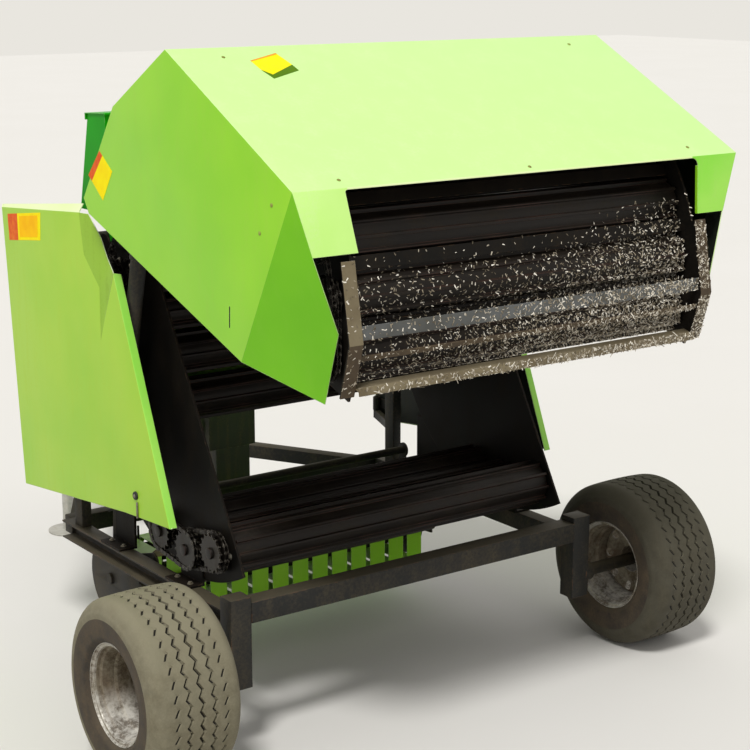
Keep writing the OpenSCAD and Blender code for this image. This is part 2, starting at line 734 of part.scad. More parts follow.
// Pickup
module pickup_frame() {
  tube_y = band_back_y - 3 - 25 - seat;
  color(black_steel) placed() for (s = [-1, 1]) on_side(s) {
    side(pick_plate_out - pick_plate_t, pick_plate_t) difference() {
      union() {
        translate([reel_y, reel_z]) circle(r = 165);
        strut([reel_y, reel_z + 60], [pick_pivot_y, pick_pivot_z], 70);
        translate([pick_pivot_y, pick_pivot_z]) circle(r = 35);
        strut([reel_y, reel_z], [tube_y, reel_z + 20], 80);
      }
      translate([pick_pivot_y, pick_pivot_z]) circle(r = pick_pin_r + seat);
      translate([reel_y, reel_z]) circle(r = 20.5);
    }
  }
  color(black_steel) placed() rod_x(-pick_plate_out + 1, [tube_y, reel_z + 20], 25, 2 * pick_plate_out - 2);
}
module pickup_bands() {
  back_y = band_back_y;
  first_x = -(band_count - 1) / 2 * tine_pitch;
  color(lime) placed() for (i = [0:band_count - 1])
    side(first_x + i * tine_pitch - band_w / 2, band_w) {
      intersection() {
        translate([reel_y, reel_z]) difference() {
          circle(r = band_r + 3);
          circle(r = band_r);
        }
        translate([reel_y, reel_z - 200]) square([400, 400]);
      }
      translate([back_y, reel_z + band_r]) square([reel_y - back_y, 3]);
      translate([back_y, reel_z - band_r - 3]) square([reel_y - back_y, 3]);
      translate([back_y - 3, reel_z - band_r - 3]) square([3, 2 * band_r + 6]);
    }
}
module pickup_reel() {
  tines = band_count - 1;
  color(grey_steel) placed() translate([0, reel_y, reel_z]) {
    rod_x(-pick_plate_out - 10, [0, 0], 20, 2 * pick_plate_out + 20);
    for (s = [-1, 0, 1]) translate([s * (pick_plate_out - 40) - 3, 0, 0]) rod_x(0, [0, 0], tine_bar_r + 16, 6);
    for (k = [0:tine_bar_count - 1]) rotate([k * 360 / tine_bar_count, 0, 0]) {
      rod_x(-pick_plate_out + 30, [tine_bar_r, 0], 12, 2 * pick_plate_out - 60);
      for (i = [0:tines - 1]) translate([(i - (tines - 1) / 2) * tine_pitch - tine_t / 2, tine_bar_r, -tine_t / 2])
        cube([tine_t, tine_tip_r - tine_bar_r, tine_t]);
    }
  }
}
// Bar above the reel with rods that press the crop down
module wind_guard() {
  bar = [1000, 600];
  rod_r = 6;
  rod_l = 215;
  rod_fall = 22;
  rod_step = 2 * (pick_plate_out - 80) / (wind_rods - 1);
  color(black_steel) placed() {
    for (s = [-1, 1]) on_side(s) side(pick_plate_out - 2 * pick_plate_t - seat, pick_plate_t) {
      strut([reel_y - 20, reel_z + 60], bar, 40);
      translate(bar) circle(r = 30);
    }
    rod_x(-pick_plate_out + pick_plate_t + 1, bar, 16, 2 * (pick_plate_out - pick_plate_t - 1));
    for (i = [0:wind_rods - 1]) translate([(i - (wind_rods - 1) / 2) * rod_step, bar[0], bar[1]])
      rotate([-90 - rod_fall, 0, 0]) cylinder(r = rod_r, h = rod_l);
  }
}

// Road wheels
module tyre() {
  half = tyre_w / 2;
  shoulder = 50;
  color(rubber) placed() translate([track / 2, 0, tyre_r]) rotate([0, 90, 0]) rotate_extrude($fn = 96)
    polygon([[rim_r + 4, -half + 30], [rim_r + 40, -half + 6], [tyre_r - shoulder - 30, -half],
      [tyre_r - 20, -half + 22], [tyre_r - 3, -half + shoulder], [tyre_r, 0], [tyre_r - 3, half - shoulder],
      [tyre_r - 20, half - 22], [tyre_r - shoulder - 30, half], [rim_r + 40, half - 6], [rim_r + 4, half - 30]]);
}
module rim() {
  half = tyre_w / 2;
  hand_holes = 8;
  color(silver) placed() translate([track / 2, 0, tyre_r]) rotate([0, 90, 0]) {
    rotate_extrude($fn = 96) polygon([[rim_r + 3.5, -half + 30], [rim_r + 3.5, half - 30],
      [rim_r + 3.5, half - 20], [rim_r - 6, half - 20], [rim_r - 14, half - 60], [rim_r - 14, -half + 60],
      [rim_r - 6, -half + 20], [rim_r + 3.5, -half + 20]]);
    difference() {
      union() {
        translate([0, 0, -30]) cylinder(r = rim_r - 10, h = 8);
        translate([0, 0, -90]) cylinder(r = 45, h = 140);
      }
      translate([0, 0, -100]) cylinder(r = spindle_r + 0.5, h = 125);
      for (i = [0:hand_holes - 1]) rotate(i * 360 / hand_holes) translate([rim_r * 0.66, 0, -31])
        cylinder(r = 17, h = 10);
    }
  }
}
module tyre_left() on_side(-1) tyre();
module tyre_right() tyre();
module rim_left() on_side(-1) rim();
module rim_right() rim();

axle_beam();
wheel_legs();
frame_rails();
front_cross();
drawbar_left();
drawbar_right();
drawbar_head();
jack_sleeve();
jack_leg();
side_plate_left();
side_plate_right();
front_rollers();
front_shield();
feed_floor();
gearbox();
cross_shaft();
front_sprockets();
front_chains();
main_drive();
main_chain();
top_tube();
twine_box();
twine_lid();
guard_posts();
guard_left();
guard_right();
tail_hood();
tail_plate_left();
tail_plate_right();
tail_rollers();
tail_sprockets();
tail_chains();
tail_rail();
barrel_left();
barrel_right();
rod_left();
rod_right();
pickup_frame();
pickup_bands();
pickup_reel();
wind_guard();
tyre_left();
tyre_right();
rim_left();
rim_right();
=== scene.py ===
import bpy
import bmesh
import json
import math
from mathutils import Matrix, Vector

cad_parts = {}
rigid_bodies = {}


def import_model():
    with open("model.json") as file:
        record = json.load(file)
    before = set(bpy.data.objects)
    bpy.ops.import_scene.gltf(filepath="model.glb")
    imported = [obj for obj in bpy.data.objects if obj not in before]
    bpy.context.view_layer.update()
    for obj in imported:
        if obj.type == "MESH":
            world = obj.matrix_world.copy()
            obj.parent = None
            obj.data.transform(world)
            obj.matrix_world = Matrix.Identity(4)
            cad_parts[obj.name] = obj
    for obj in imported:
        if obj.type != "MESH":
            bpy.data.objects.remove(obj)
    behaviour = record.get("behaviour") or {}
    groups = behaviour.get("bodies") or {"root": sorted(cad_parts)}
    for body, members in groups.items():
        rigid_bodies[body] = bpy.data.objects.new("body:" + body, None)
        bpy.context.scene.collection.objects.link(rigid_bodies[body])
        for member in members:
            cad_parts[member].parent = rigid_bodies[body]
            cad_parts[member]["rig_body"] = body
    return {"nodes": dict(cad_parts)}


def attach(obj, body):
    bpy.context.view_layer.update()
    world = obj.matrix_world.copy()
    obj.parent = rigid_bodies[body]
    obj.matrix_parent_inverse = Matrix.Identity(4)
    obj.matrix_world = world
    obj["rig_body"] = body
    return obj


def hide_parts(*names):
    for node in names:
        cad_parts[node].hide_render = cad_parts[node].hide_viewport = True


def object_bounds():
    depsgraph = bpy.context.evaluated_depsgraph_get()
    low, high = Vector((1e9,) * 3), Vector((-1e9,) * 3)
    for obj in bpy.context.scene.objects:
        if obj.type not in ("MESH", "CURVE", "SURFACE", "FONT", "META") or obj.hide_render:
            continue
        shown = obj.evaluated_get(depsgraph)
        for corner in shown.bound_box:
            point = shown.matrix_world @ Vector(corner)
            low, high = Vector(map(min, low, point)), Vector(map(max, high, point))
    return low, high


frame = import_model()
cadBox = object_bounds()
print("frame loaded")

scene = bpy.context.scene
scene.view_settings.view_transform = "Standard"

# Millimetres from the axle line, before the machine is moved to its own middle
machine = {
    "shiftY": -1121.0665, "chamberY": 370, "chamberZ": 1204, "chamberHalf": 700, "plateRadius": 690,
    "splitDeg": 60.28, "openDeg": 40.5, "rollerRing": 580, "rollerStep": 18, "tailRollers": 10,
    "rollerLinks": 7, "leftSprocketX": 730, "sprocketStep": 20, "sprocketThick": 8, "sprocketTeeth": 16,
}
right, ahead, upwards = Vector((1, 0, 0)), Vector((0, 1, 0)), Vector((0, 0, 1))
sideNames = ((-1, "left"), (1, "right"))


def polar(radius, turn):
    return radius * math.cos(turn), radius * math.sin(turn)


def circle(count, shift=0):  # equal turns round a full circle
    return [2 * math.pi * (i + shift) / count for i in range(count)]


def aroundChamber(deg, radius):
    y, z = polar(radius, math.radians(deg))
    return Vector((0, machine["chamberY"] + y, machine["chamberZ"] + z))


def place(x, y, z):  # machine millimetres to metres in the shared frame
    return Vector((x, y + machine["shiftY"], z)) / 1000


pivot = aroundChamber(machine["splitDeg"], machine["plateRadius"])
hingeLine = place(*pivot)
lifting = (Matrix.Translation(hingeLine) @ Matrix.Rotation(-math.radians(machine["openDeg"]), 4, "X")
           @ Matrix.Translation(-hingeLine))
gateTurn, noTurn = lifting.to_3x3(), Matrix.Identity(3)
standing = Matrix.Rotation(-math.pi / 2, 4, "Y")


def onTailgate(x, y, z):  # a point of the shut tailgate, where it is with the gate up
    return lifting @ place(x, y, z)


def fromPivot(x, forward, up):
    return onTailgate(x, pivot.y + forward, pivot.z + up)


# Mesh helpers
def newPiece(name, points, faces, finishes):
    mesh = bpy.data.meshes.new(name)
    mesh.from_pydata([tuple(p) for p in points], [], [tuple(f) for f in faces])
    mesh.update()
    piece = bpy.data.objects.new(name, mesh)
    scene.collection.objects.link(piece)
    for finish in finishes if isinstance(finishes, (list, tuple)) else [finishes]:
        mesh.materials.append(finish)
    return piece


def ringFaces(rings, count, closed=False):  # walls between neighbouring rings of points
    faces = []
    for i in range(rings if closed else rings - 1):
        here, beyond = i * count, (i + 1) % rings * count
        for k in range(count):
            after = (k + 1) % count
            faces.append((here + k, here + after, beyond + after, beyond + k))
    return faces


def outwards(mesh, merge=1e-6):  # doubles merged, then every face turned outwards
    shape = bmesh.new()
    shape.from_mesh(mesh)
    bmesh.ops.remove_doubles(shape, verts=shape.verts, dist=merge)
    bmesh.ops.recalc_face_normals(shape, faces=shape.faces)
    shape.to_mesh(mesh)
    shape.free()


def smoothBelow(mesh, angle=32):  # round faces shade smooth, edges past the angle stay crisp
    shape = bmesh.new()
    shape.from_mesh(mesh)
    for edge in shape.edges:
        edge.smooth = len(edge.link_faces) == 2 and edge.calc_face_angle(0) < math.radians(angle)
    for face in shape.faces:
        face.smooth = True
    shape.to_mesh(mesh)
    shape.free()


def settle(piece, angle=32):  # modifiers become plain mesh
    graph = bpy.context.evaluated_depsgraph_get()
    done = bpy.data.meshes.new_from_object(piece.evaluated_get(graph))
    piece.modifiers.clear()
    piece.data = done
    done.name = piece.name
    smoothBelow(done, angle)
    return piece


def addModifier(piece, kind, **settings):
    modifier = piece.modifiers.new(kind.title(), kind)
    for key, value in settings.items():
        setattr(modifier, key, value)


def tint(piece, tones):  # which of its finishes each face takes
    for face, tone in zip(piece.data.polygons, tones):
        face.material_index = tone


def fit(piece, body, slot=None, *replaced):
    if replaced:
        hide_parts(*replaced)
    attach(piece, body)


press = {"merge": 0.002, "foldDeg": 20, "foldSteps": 4}


def foldSheet(name, faces, finishes, tones, sheet, inside):
    # pressed sheet: faces share their corners, folds are rounded, and the wall goes towards the inside point;
    # finishes are the outer ones, tones says which face takes which, then come the inner wall and the cut edge
    wall, fold, innerWall, cutEdge = sheet
    points = [corner for face in faces for corner in face]
    counted, start = [], 0
    for face in faces:
        counted.append(range(start, start + len(face)))
        start += len(face)
    outer = len(finishes)
    piece = newPiece(name, points, counted, list(finishes) + [innerWall] * outer + [cutEdge] * outer)
    tint(piece, tones)
    shape = bmesh.new()
    shape.from_mesh(piece.data)
    bmesh.ops.remove_doubles(shape, verts=shape.verts, dist=press["merge"])
    bmesh.ops.recalc_face_normals(shape, faces=shape.faces)
    outward = sum((f.calc_center_median() - inside).dot(f.normal) * f.calc_area() for f in shape.faces)
    if outward < 0:
        bmesh.ops.reverse_faces(shape, faces=shape.faces)
    folds = [e for e in shape.edges
             if len(e.link_faces) == 2 and e.calc_face_angle(0) > math.radians(press["foldDeg"])]
    bmesh.ops.bevel(shape, geom=folds, offset=fold / 1000, offset_type="OFFSET", segments=press["foldSteps"],
                    profile=0.5, affect="EDGES", clamp_overlap=True, material=-1)
    shape.to_mesh(piece.data)
    shape.free()
    addModifier(piece, "SOLIDIFY", thickness=wall / 1000, offset=-1, use_even_offset=True,
                use_quality_normals=True, material_offset=outer, material_offset_rim=2 * outer)
    return settle(piece)


def cutAway(piece, cutters):
    for cutter in cutters:
        addModifier(piece, "BOOLEAN", object=cutter, operation="DIFFERENCE", solver="EXACT")
    settle(piece)
    for cutter in cutters:
        bpy.data.objects.remove(cutter)


easing = {"merge": 1e-5, "flatDeg": 0.6, "cornerDeg": 38}


def softened(node, finish, slot, edge):
    # the CAD node's own shape, with its edges eased as paint and wear leave them
    source = frame["nodes"][node]
    mesh = source.data.copy()
    piece = bpy.data.objects.new(node + "_eased", mesh)
    scene.collection.objects.link(piece)
    shape = bmesh.new()
    shape.from_mesh(mesh)
    bmesh.ops.remove_doubles(shape, verts=shape.verts, dist=easing["merge"])
    bmesh.ops.dissolve_limit(shape, angle_limit=math.radians(easing["flatDeg"]), verts=shape.verts,
                             edges=shape.edges)
    shape.to_mesh(mesh)
    shape.free()
    mesh.materials.clear()
    mesh.materials.append(finish)
    if edge:
        addModifier(piece, "BEVEL", width=edge / 1000, segments=2, limit_method="ANGLE",
                    angle_limit=math.radians(easing["cornerDeg"]))
    settle(piece)
    fit(piece, source["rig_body"], slot, node)


def lathe(name, outline, finish, matrix, steps=96, angle=32):
    # outline of [radius, along] in mm, closed, turned round its own axis
    points = [matrix @ (Vector((along, *polar(radius, turn))) / 1000)
              for turn in circle(steps) for radius, along in outline]
    piece = newPiece(name, points, ringFaces(steps, len(outline), True), finish)
    outwards(piece.data)
    smoothBelow(piece.data, angle)
    return piece


def turnedSolid(name, start, along, outline, finish, steps=32):
    # outline of [radius, along] in mm, from start in metres along a direction
    aim = along.normalized().to_track_quat("X", "Z").to_matrix().to_4x4()
    return lathe(name, outline, finish, Matrix.Translation(start) @ aim, steps)


def tube(name, rings, finish, merge=1e-6):  # rings of points joined by walls, with a cap at each end
    count, points = len(rings[0]), [p for ring in rings for p in ring]
    caps = [tuple(range(count - 1, -1, -1)), tuple(range(len(points) - count, len(points)))]
    piece = newPiece(name, points, ringFaces(len(rings), count) + caps, finish)
    outwards(piece.data, merge)
    return piece


def slab(name, corners, push, finish):  # a flat outline pushed along a vector
    return tube(name, [corners, [c + push for c in corners]], finish, 1e-7)


def joined(name, pieces):  # several meshes with the same slots become one piece
    shape = bmesh.new()
    finishes = []
    for piece in pieces:
        start = len(finishes)
        for face in piece.data.polygons:
            face.material_index += start
        finishes += list(piece.data.materials)
        shape.from_mesh(piece.data)
    whole = newPiece(name, [], [], finishes)
    shape.to_mesh(whole.data)
    shape.free()
    for piece in pieces:
        bpy.data.objects.remove(piece)
    return whole


# Finishes
def toLinear(code):
    parts = [int(code[i:i + 2], 16) / 255 for i in (1, 3, 5)]
    return tuple(c / 12.92 if c <= 0.04045 else ((c + 0.055) / 1.055) ** 2.4 for c in parts) + (1.0,)


def setInputs(node, inputs):  # each takes a value, a colour code, a socket, or what a node gives out first
    for key, given in inputs.items():
        if isinstance(given, bpy.types.Node):
            given = next(socket for socket in given.outputs if socket.enabled)
        if isinstance(given, bpy.types.NodeSocket):
            node.id_data.links.new(given, node.inputs[key])
        else:
            node.inputs[key].default_value = toLinear(given) if str(given).startswith("#") else given


def addNode(tree, kind, inputs=None, **settings):
    node = tree.nodes.new(kind)
    for key, value in settings.items():
        setattr(node, key, value)
    setInputs(node, inputs or {})
    return node


def newFinish(name):
    finish = bpy.data.materials.new(name)
    finish.use_nodes = True
    tree = finish.node_tree
    return finish, tree, tree.nodes["Principled BSDF"], addNode(tree, "ShaderNodeTexCoord").outputs


def noise(tree, spot, size, detail, roughness=0.5):  # size in mm
    return addNode(tree, "ShaderNodeTexNoise", {
        "Scale": 1000 / size, "Detail": detail, "Roughness": roughness, "Vector": spot})


def mask(tree, value, low, high, most=1.0):
    return addNode(tree, "ShaderNodeMapRange", {
        "From Min": low, "From Max": high, "To Max": most, "Value": value})


def blend(tree, share, under, over):
    return addNode(tree, "ShaderNodeMix", {0: share, 6: under, 7: over}, data_type="RGBA")


anyCoat = {
    "metallic": 0.0, "shine": 0.3, "coat": 0.0, "coatRough": 0.25, "rough": 0.4, "dustRough": 0.95,
    "cloud": 380, "cloudFrom": (0.38, 0.64), "bleach": 0.0, "topsFrom": (0.2, 0.9),
    "streak": (26, 240), "grain": 11, "grainRough": 0.68, "dusty": 0.3, "dustFrom": (0.24, 0.42),
    "edge": 3, "edgeFrom": (0.995, 0.86), "chip": 22, "chipFrom": 0.5, "chipTo": 0.62,
    "ripple": 300, "peel": 0.08, "peelTall": 0.002, "wave": 0.0, "waveTall": 0.02,
    "levels": {"cloud": 3, "streak": 4, "grain": 7, "chip": 5, "ripple": 1},
}


def weathered(name, colours, family=None, **own):
    # colours: the coat, its slow clouds, its tops, paler from sun bleaching and as a painted highlight of the
    # light on them, the dust on it, what shows at the edges, worn there, and on the enamels a painted highlight
    paint, deeper, fadedAndLit, dust, bareAndLit = colours.split()
    look = {**anyCoat, **(family or {}), **own}
    finish, tree, shader, coords = newFinish(name)
    spot, levels = coords["Object"], look["levels"]
    clouds = mask(tree, noise(tree, spot, look["cloud"], levels["cloud"]), *look["cloudFrom"])
    # faces turned up go towards the faded colour: sun bleaching, and a painted highlight of the light on the
    # tops
    facing = addNode(tree, "ShaderNodeSeparateXYZ", {0: coords["Normal"]})
    upward = mask(tree, facing.outputs["Z"], *look["topsFrom"], look["bleach"])
    sunFadedLit = blend(tree, upward, blend(tree, clouds, paint, deeper), fadedAndLit)
    # rain drags the dust into upright streaks
    across, down = look["streak"]
    stretch = addNode(tree, "ShaderNodeMapping", {
        "Scale": (1000 / across, 1000 / across, 1000 / down), "Vector": spot})
    grain = noise(tree, spot, look["grain"], levels["grain"], look["grainRough"])
    streaks = noise(tree, stretch, 1000, levels["streak"])
    layered = addNode(tree, "ShaderNodeMath", {0: streaks, 1: grain}, operation="MULTIPLY")
    dustMask = mask(tree, layered, *look["dustFrom"], look["dusty"])
    dusted = blend(tree, dustMask, sunFadedLit, dust)
    # a bevel against the true normal finds the edges, where paint chips and steel shines, and where the enamels
    # take a painted highlight
    rounded = addNode(tree, "ShaderNodeBevel", {"Radius": look["edge"] / 1000}, samples=4)
    flat = addNode(tree, "ShaderNodeNewGeometry").outputs["Normal"]
    bend = addNode(tree, "ShaderNodeVectorMath", {0: rounded, 1: flat}, operation="DOT_PRODUCT")
    edge = mask(tree, bend, *look["edgeFrom"])
    flakes = noise(tree, spot, look["chip"], levels["chip"])
    chips = mask(tree, flakes, look["chipFrom"], look["chipTo"])
    wornAndLit = addNode(tree, "ShaderNodeMath", {0: edge, 1: chips}, operation="MULTIPLY")
    peel = addNode(tree, "ShaderNodeBump", {
        "Strength": look["peel"], "Distance": look["peelTall"], "Height": grain, "Normal": rounded})
    setInputs(shader, {
        "Metallic": look["metallic"], "Specular IOR Level": look["shine"], "Coat Weight": look["coat"],
        "Coat Roughness": look["coatRough"], "Base Color": blend(tree, wornAndLit, dusted, bareAndLit),
        "Roughness": addNode(tree, "ShaderNodeMapRange", {
            "To Min": look["rough"], "To Max": look["dustRough"], "Value": dustMask}),
        "Normal": addNode(tree, "ShaderNodeBump", {
            "Strength": look["wave"], "Distance": look["waveTall"],
            "Height": noise(tree, spot, look["ripple"], levels["ripple"]), "Normal": peel})})
    return finish


enamel = {"coat": 0.1, "rough": 0.34, "bleach": 0.6, "dusty": 0.1, "wave": 0.3, "edge": 2.5, "chipFrom": 0.3}
vinyl = {"rough": 0.5, "dusty": 0.1, "cloud": 60, "edge": 1, "peel": 0.03, "shine": 0.05}
tread = {"bleach": 0.7, "rough": 0.85, "streak": (30, 34), "dusty": 0.5, "dustFrom": (0.16, 0.4), "cloud": 60,
         "grain": 7, "edge": 2, "peel": 0.3}
# Baked lime enamel on pressed sheet: a clean gloss, with pale bright edges, a painted highlight along the
# rounded folds
limePaint = weathered("limeEnamel", "#90D020 #86CA1A #B9EE6A #AEB860 #DDF5B4", enamel, bleach=0.85)
# The same enamel, pale and chalky, with slow pools of the first colour, on the roof and the left rear strip:
# sun bleaching, and a painted highlight where those panels catch the light
sunFadedLitLime = weathered(
    "bleachedEnamel", "#D1FC92 #C4F67E #C8F096 #DDF2B6 #F0FAD0", enamel, bleach=0.95, rough=0.4, dusty=0.22,
    streak=(70, 420), cloud=420, edge=3)
# Deeper lime for the left corner panel and the tip hems: painted shade on panels turned from the light
shadedLime = weathered(
    "deepLimeEnamel", "#72BE08 #69B506 #8FCB3C #8FB84A #CDEDA0", enamel, rough=0.32, dusty=0.08)
# Fuller, greener lime on the right rear strip and the guards' rear flanges: a painted highlight on these
# rear-facing faces
rearLitLime = weathered("freshLimeEnamel", "#A0E252 #86DC38 #B4EE7E #B9C77E #DDF5B4", enamel)
# The guards' enamel: yellower and duller, handled and dusty, then its bent flap: darker, painted shade where
# the raised hood shades it, with more dust
guardPaint = weathered(
    "guardEnamel", "#A2CC30 #96C826 #EAF7C0 #B0C650 #D9EFA8", enamel, bleach=0.95, coat=0.08, rough=0.38,
    dusty=0.25)
shadedFlap = weathered(
    "guardFlapEnamel", "#8EB828 #80AE20 #93BC3A #86A43C #D9EFA8", enamel, bleach=0.4, coat=0.05, rough=0.45,
    dusty=0.4)
# The guards' top flange and the hood's lip over the opening: cream, a painted highlight where the turned edge
# catches the light
highlitCream = weathered(
    "creamEnamel", "#EAF8BE #E0F2A8 #F2FAD0 #DCE6B0 #F4FADC", enamel, coat=0.0, rough=0.45, dusty=0.2,
    wave=0.1, edge=2)
# Inside of the sheets: near black, painted shade for the dark inside of the hood and guards, dulled by crop
# dust
insideShade = weathered(
    "darkUndercoat", "#101A0C #0C120B #2E3320 #3D3B26 #2C3A1C", bleach=0.5, rough=0.6, dusty=0.25, edge=2,
    peel=0.2)
# Cut edge of the sheet: a pale line, a painted highlight where the edge catches the light, with the paint worn
# there
edgeHighlight = weathered(
    "bareSheetEdge", "#D5EDB0 #BFE08E #EDF6D4 #C9B69A #E4E0D2", bleach=0.7, rough=0.5, dusty=0.2, edge=1)
# The twine box: the machine's darker second green, set darker still as painted shade, the tone of its rear face
# in shade
greenPaint = weathered(
    "greenEnamel", "#0FA000 #0C9200 #3FB52A #6FA84A #A9DC92", enamel, bleach=0.5, coat=0.05, rough=0.36,
    dusty=0.02, wave=0.2, chipFrom=0.35, shine=0.08)
# Air-dried black chassis paint under hay dust: flat, brown in its hollows, bare at its edges
chassisBlack = weathered(
    "chassisBlack", "#1B1C1B #24221E #544D3C #5C523E #6B4A33", bleach=0.6, rough=0.6, streak=(90, 260),
    dusty=0.45, dustFrom=(0.2, 0.42), edge=4, peel=0.2)
# Plates round the chamber, polished by the crop: near black, their black paint darkened further as painted
# shade
chamberBlack = weathered(
    "chamberBlack", "#0D0C0A #13100D #241D16 #2B2318 #5B4630", bleach=0.5, rough=0.55, streak=(80, 200),
    dusty=0.35, dustFrom=(0.22, 0.44), peel=0.2, shine=0.12)
# Rolled steel that the crop rubs: near black, red brown along the ribs
rollerSteel = weathered(
    "cropStainedSteel", "#110D0A #17110D #241C14 #322A1B #54342A", bleach=0.4, rough=0.45, metallic=0.3,
    streak=(120, 60), dusty=0.4, grain=9, edge=4, chip=140, chipFrom=0.4, peel=0.25)
# Mild steel scoured by straw: warm grey with no paint left, then the same darker and browner: sap and dust
# dried on it, and painted shade on the lower flange, which turns from the light
scouredSteel = weathered(
    "scouredSteel", "#80755C #6C6049 #988C72 #6B5D43 #D0CABF", bleach=0.3, rough=0.5, metallic=0.25,
    dusty=0.35, cloud=120, edge=2, peel=0.2)
sapShadeBrown = weathered(
    "sapStainedSteel", "#4A3D2C #3A2F22 #6A5C44 #5E5038 #8A7B62", bleach=0.3, rough=0.65, dusty=0.5, cloud=90,
    peel=0.3)
# Flat slat that every bale wipes: dark, with a cold blue sheen
slatSteel = weathered(
    "polishedSlat", "#606262 #4E4F4C #777775 #4F4938 #8E9494", bleach=0.4, rough=0.34, metallic=0.2,
    streak=(160, 30), dusty=0.4, cloud=160, edge=2, peel=0.1)
# Galvanised bar: pale, with a soft spangle
paleSteel = weathered(
    "zincSteel", "#B9B8B0 #A3A199 #CBC8BE #94845A #DAD8D2", bleach=0.4, rough=0.45, metallic=0.55, dusty=0.25,
    cloud=30, edge=2, peel=0.1)
# Grey cast iron of the gear case, oiled and dusty
castIron = weathered(
    "castIron", "#4B4A46 #3C3A36 #7B735F #75694C #8A847A", bleach=0.5, rough=0.7, dusty=0.5, grain=5,
    peel=0.5)
# Hardened chain steel, black with old oil and shining where it runs
chainSteel = weathered(
    "oiledChainSteel", "#221E1A #181512 #3B3428 #3D3222 #8D877C", bleach=0.3, rough=0.35, metallic=0.6,
    edge=2, chipFrom=0.42)
# Hard chrome on the rods: near a mirror
hardChrome = weathered(
    "hardChrome", "#C9CCCE #BFC3C6 #C9CCCE #8D866F #DADCDD", rough=0.14, metallic=1.0, dusty=0.12, peel=0.02,
    edge=1)
# Zinc-plated bolts, gone dull and brown at their feet
boltZinc = weathered(
    "dullBoltZinc", "#8F8B7E #6F6553 #A8A290 #6B5A3F #B5B0A4", bleach=0.3, rough=0.45, metallic=0.6, cloud=20,
    dusty=0.4, grain=4, edge=1)
# Steel rivets that bleed a little rust into the enamel
rivetBrown = weathered("rustedRivet", "#8FA046 #7C6B3A #8FA046 #8A6A3A #8A6A4A", rough=0.6, cloud=12, edge=1)
# Silver wheel enamel under brown field dust: only the lip and the wiped steps still shine
rimSilver = weathered(
    "rimSilver", "#B3AFA6 #97907F #D9D6CC #5A4C3A #DCD8CE", bleach=0.8, rough=0.4, metallic=0.3,
    streak=(60, 90), dusty=0.85, dustFrom=(0.18, 0.34), cloud=60, grain=14, edge=2.5, chipFrom=0.3)
# The well and the disc, where dust stays; faces turned up in the well go near white, a painted highlight where
# the sun lights them
rimInside = weathered(
    "dustyRimInside", "#8A8270 #6E6150 #D8D4CA #4E4130 #A89F8E", bleach=0.9, rough=0.6, metallic=0.15,
    streak=(50, 70), dusty=0.8, dustFrom=(0.18, 0.36), cloud=70, grain=12, edge=2.5, chipFrom=0.4)
# Carbon black rubber: the tread scrubbed grey olive by the field, the walls left dark, the grooves near black:
# left dark, and darkened further as painted shade in the recess
treadRubber = weathered("scrubbedTreadRubber", "#706B58 #67614E #8C866E #88816B #8A846E", tread)
# The right tyre's tread is darker: painted shade, for the machine's shade over that tyre
shadedTread = weathered("dampTyreRubber", "#454237 #403C30 #575344 #545042 #8A846E", tread)
wallRubber = weathered(
    "sidewallRubber", "#322D27 #40382D #615745 #61523F #6A5E49", tread, bleach=0.5, rough=0.7,
    streak=(60, 60), dusty=0.6, dustFrom=(0.18, 0.44), cloud=90, grain=8)
# Groove floors near black: painted shade in the recess, over dark rubber
grooveRubber = weathered(
    "grooveRubber", "#0E0D0B #171510 #0E0D0B #2E281C #2E281C", rough=0.8, dusty=0.25, edge=1)
# Black moulded polythene of the shaft cone and the grips: satin, faintly grey at its edges
blackPlastic = weathered(
    "blackPolythene", "#17181A #1F2022 #3A3A38 #6B6350 #4A4A48", bleach=0.3, rough=0.5, edge=2, chipFrom=0.4,
    peel=0.05)
# Printed vinyl labels, left blank: flat bright colour, a little chalky
yellowVinyl = weathered("yellowVinyl", "#F9E508 #F6DA06 #FCEF1C #D9C860 #EFDF62", vinyl, bleach=0.6)
amberVinyl = weathered("amberVinyl", "#FBC404 #F7B606 #FCD318 #E0B24A #EFCB4A", vinyl, bleach=0.4)
orangeVinyl = weathered(
    "orangeVinyl", "#E0662E #D65426 #F0B232 #E9A23C #E8B27A", vinyl, bleach=0.7, dusty=0.3, cloud=22,
    grain=14)
mossVinyl = weathered(
    "mossVinyl", "#4F7410 #5C821A #4F7410 #6E8F2A #86A23E", vinyl, rough=0.6, dusty=0.2, cloud=380, peel=0.05)

# Broken straw: waxy stems, one tone for each flake
straw = {"tones": ("#4A4130", "#978B75", "#F4EEDF"), "rough": 0.7, "fibre": 3, "levels": 3,
         "fibreRough": 0.3, "fibreTall": 0.001}
chaffStraw, strawTree, shader, coords = newFinish("dustyChaff")
island = addNode(strawTree, "ShaderNodeNewGeometry")
tones = addNode(strawTree, "ShaderNodeValToRGB", {0: island.outputs["Random Per Island"]})
darkest, middle, palest = map(toLinear, straw["tones"])
tones.color_ramp.elements[0].color = darkest
tones.color_ramp.elements[1].color = palest
tones.color_ramp.elements.new(0.5).color = middle
fibre = noise(strawTree, coords["Object"], straw["fibre"], straw["levels"])
lines = addNode(strawTree, "ShaderNodeBump", {
    "Strength": straw["fibreRough"], "Distance": straw["fibreTall"], "Height": fibre})
setInputs(shader, {"Roughness": straw["rough"], "Base Color": tones, "Normal": lines})
print("finishes made")

# Camera at the photograph's angle, then light and floor
photo = {"at": (-3.6137, -5.8913, 2.6312), "turn": 0.623, "tilt": 0.233, "lens": 84.41, "sensor": 36}
camera = bpy.data.objects.new("photoCamera", bpy.data.cameras.new("photoCamera"))
camera.data.lens = photo["lens"]
camera.data.sensor_width = photo["sensor"]
camera.location = photo["at"]
camera.rotation_euler = (math.pi / 2 - photo["tilt"], 0, -photo["turn"])
scene.collection.objects.link(camera)
scene.camera = camera

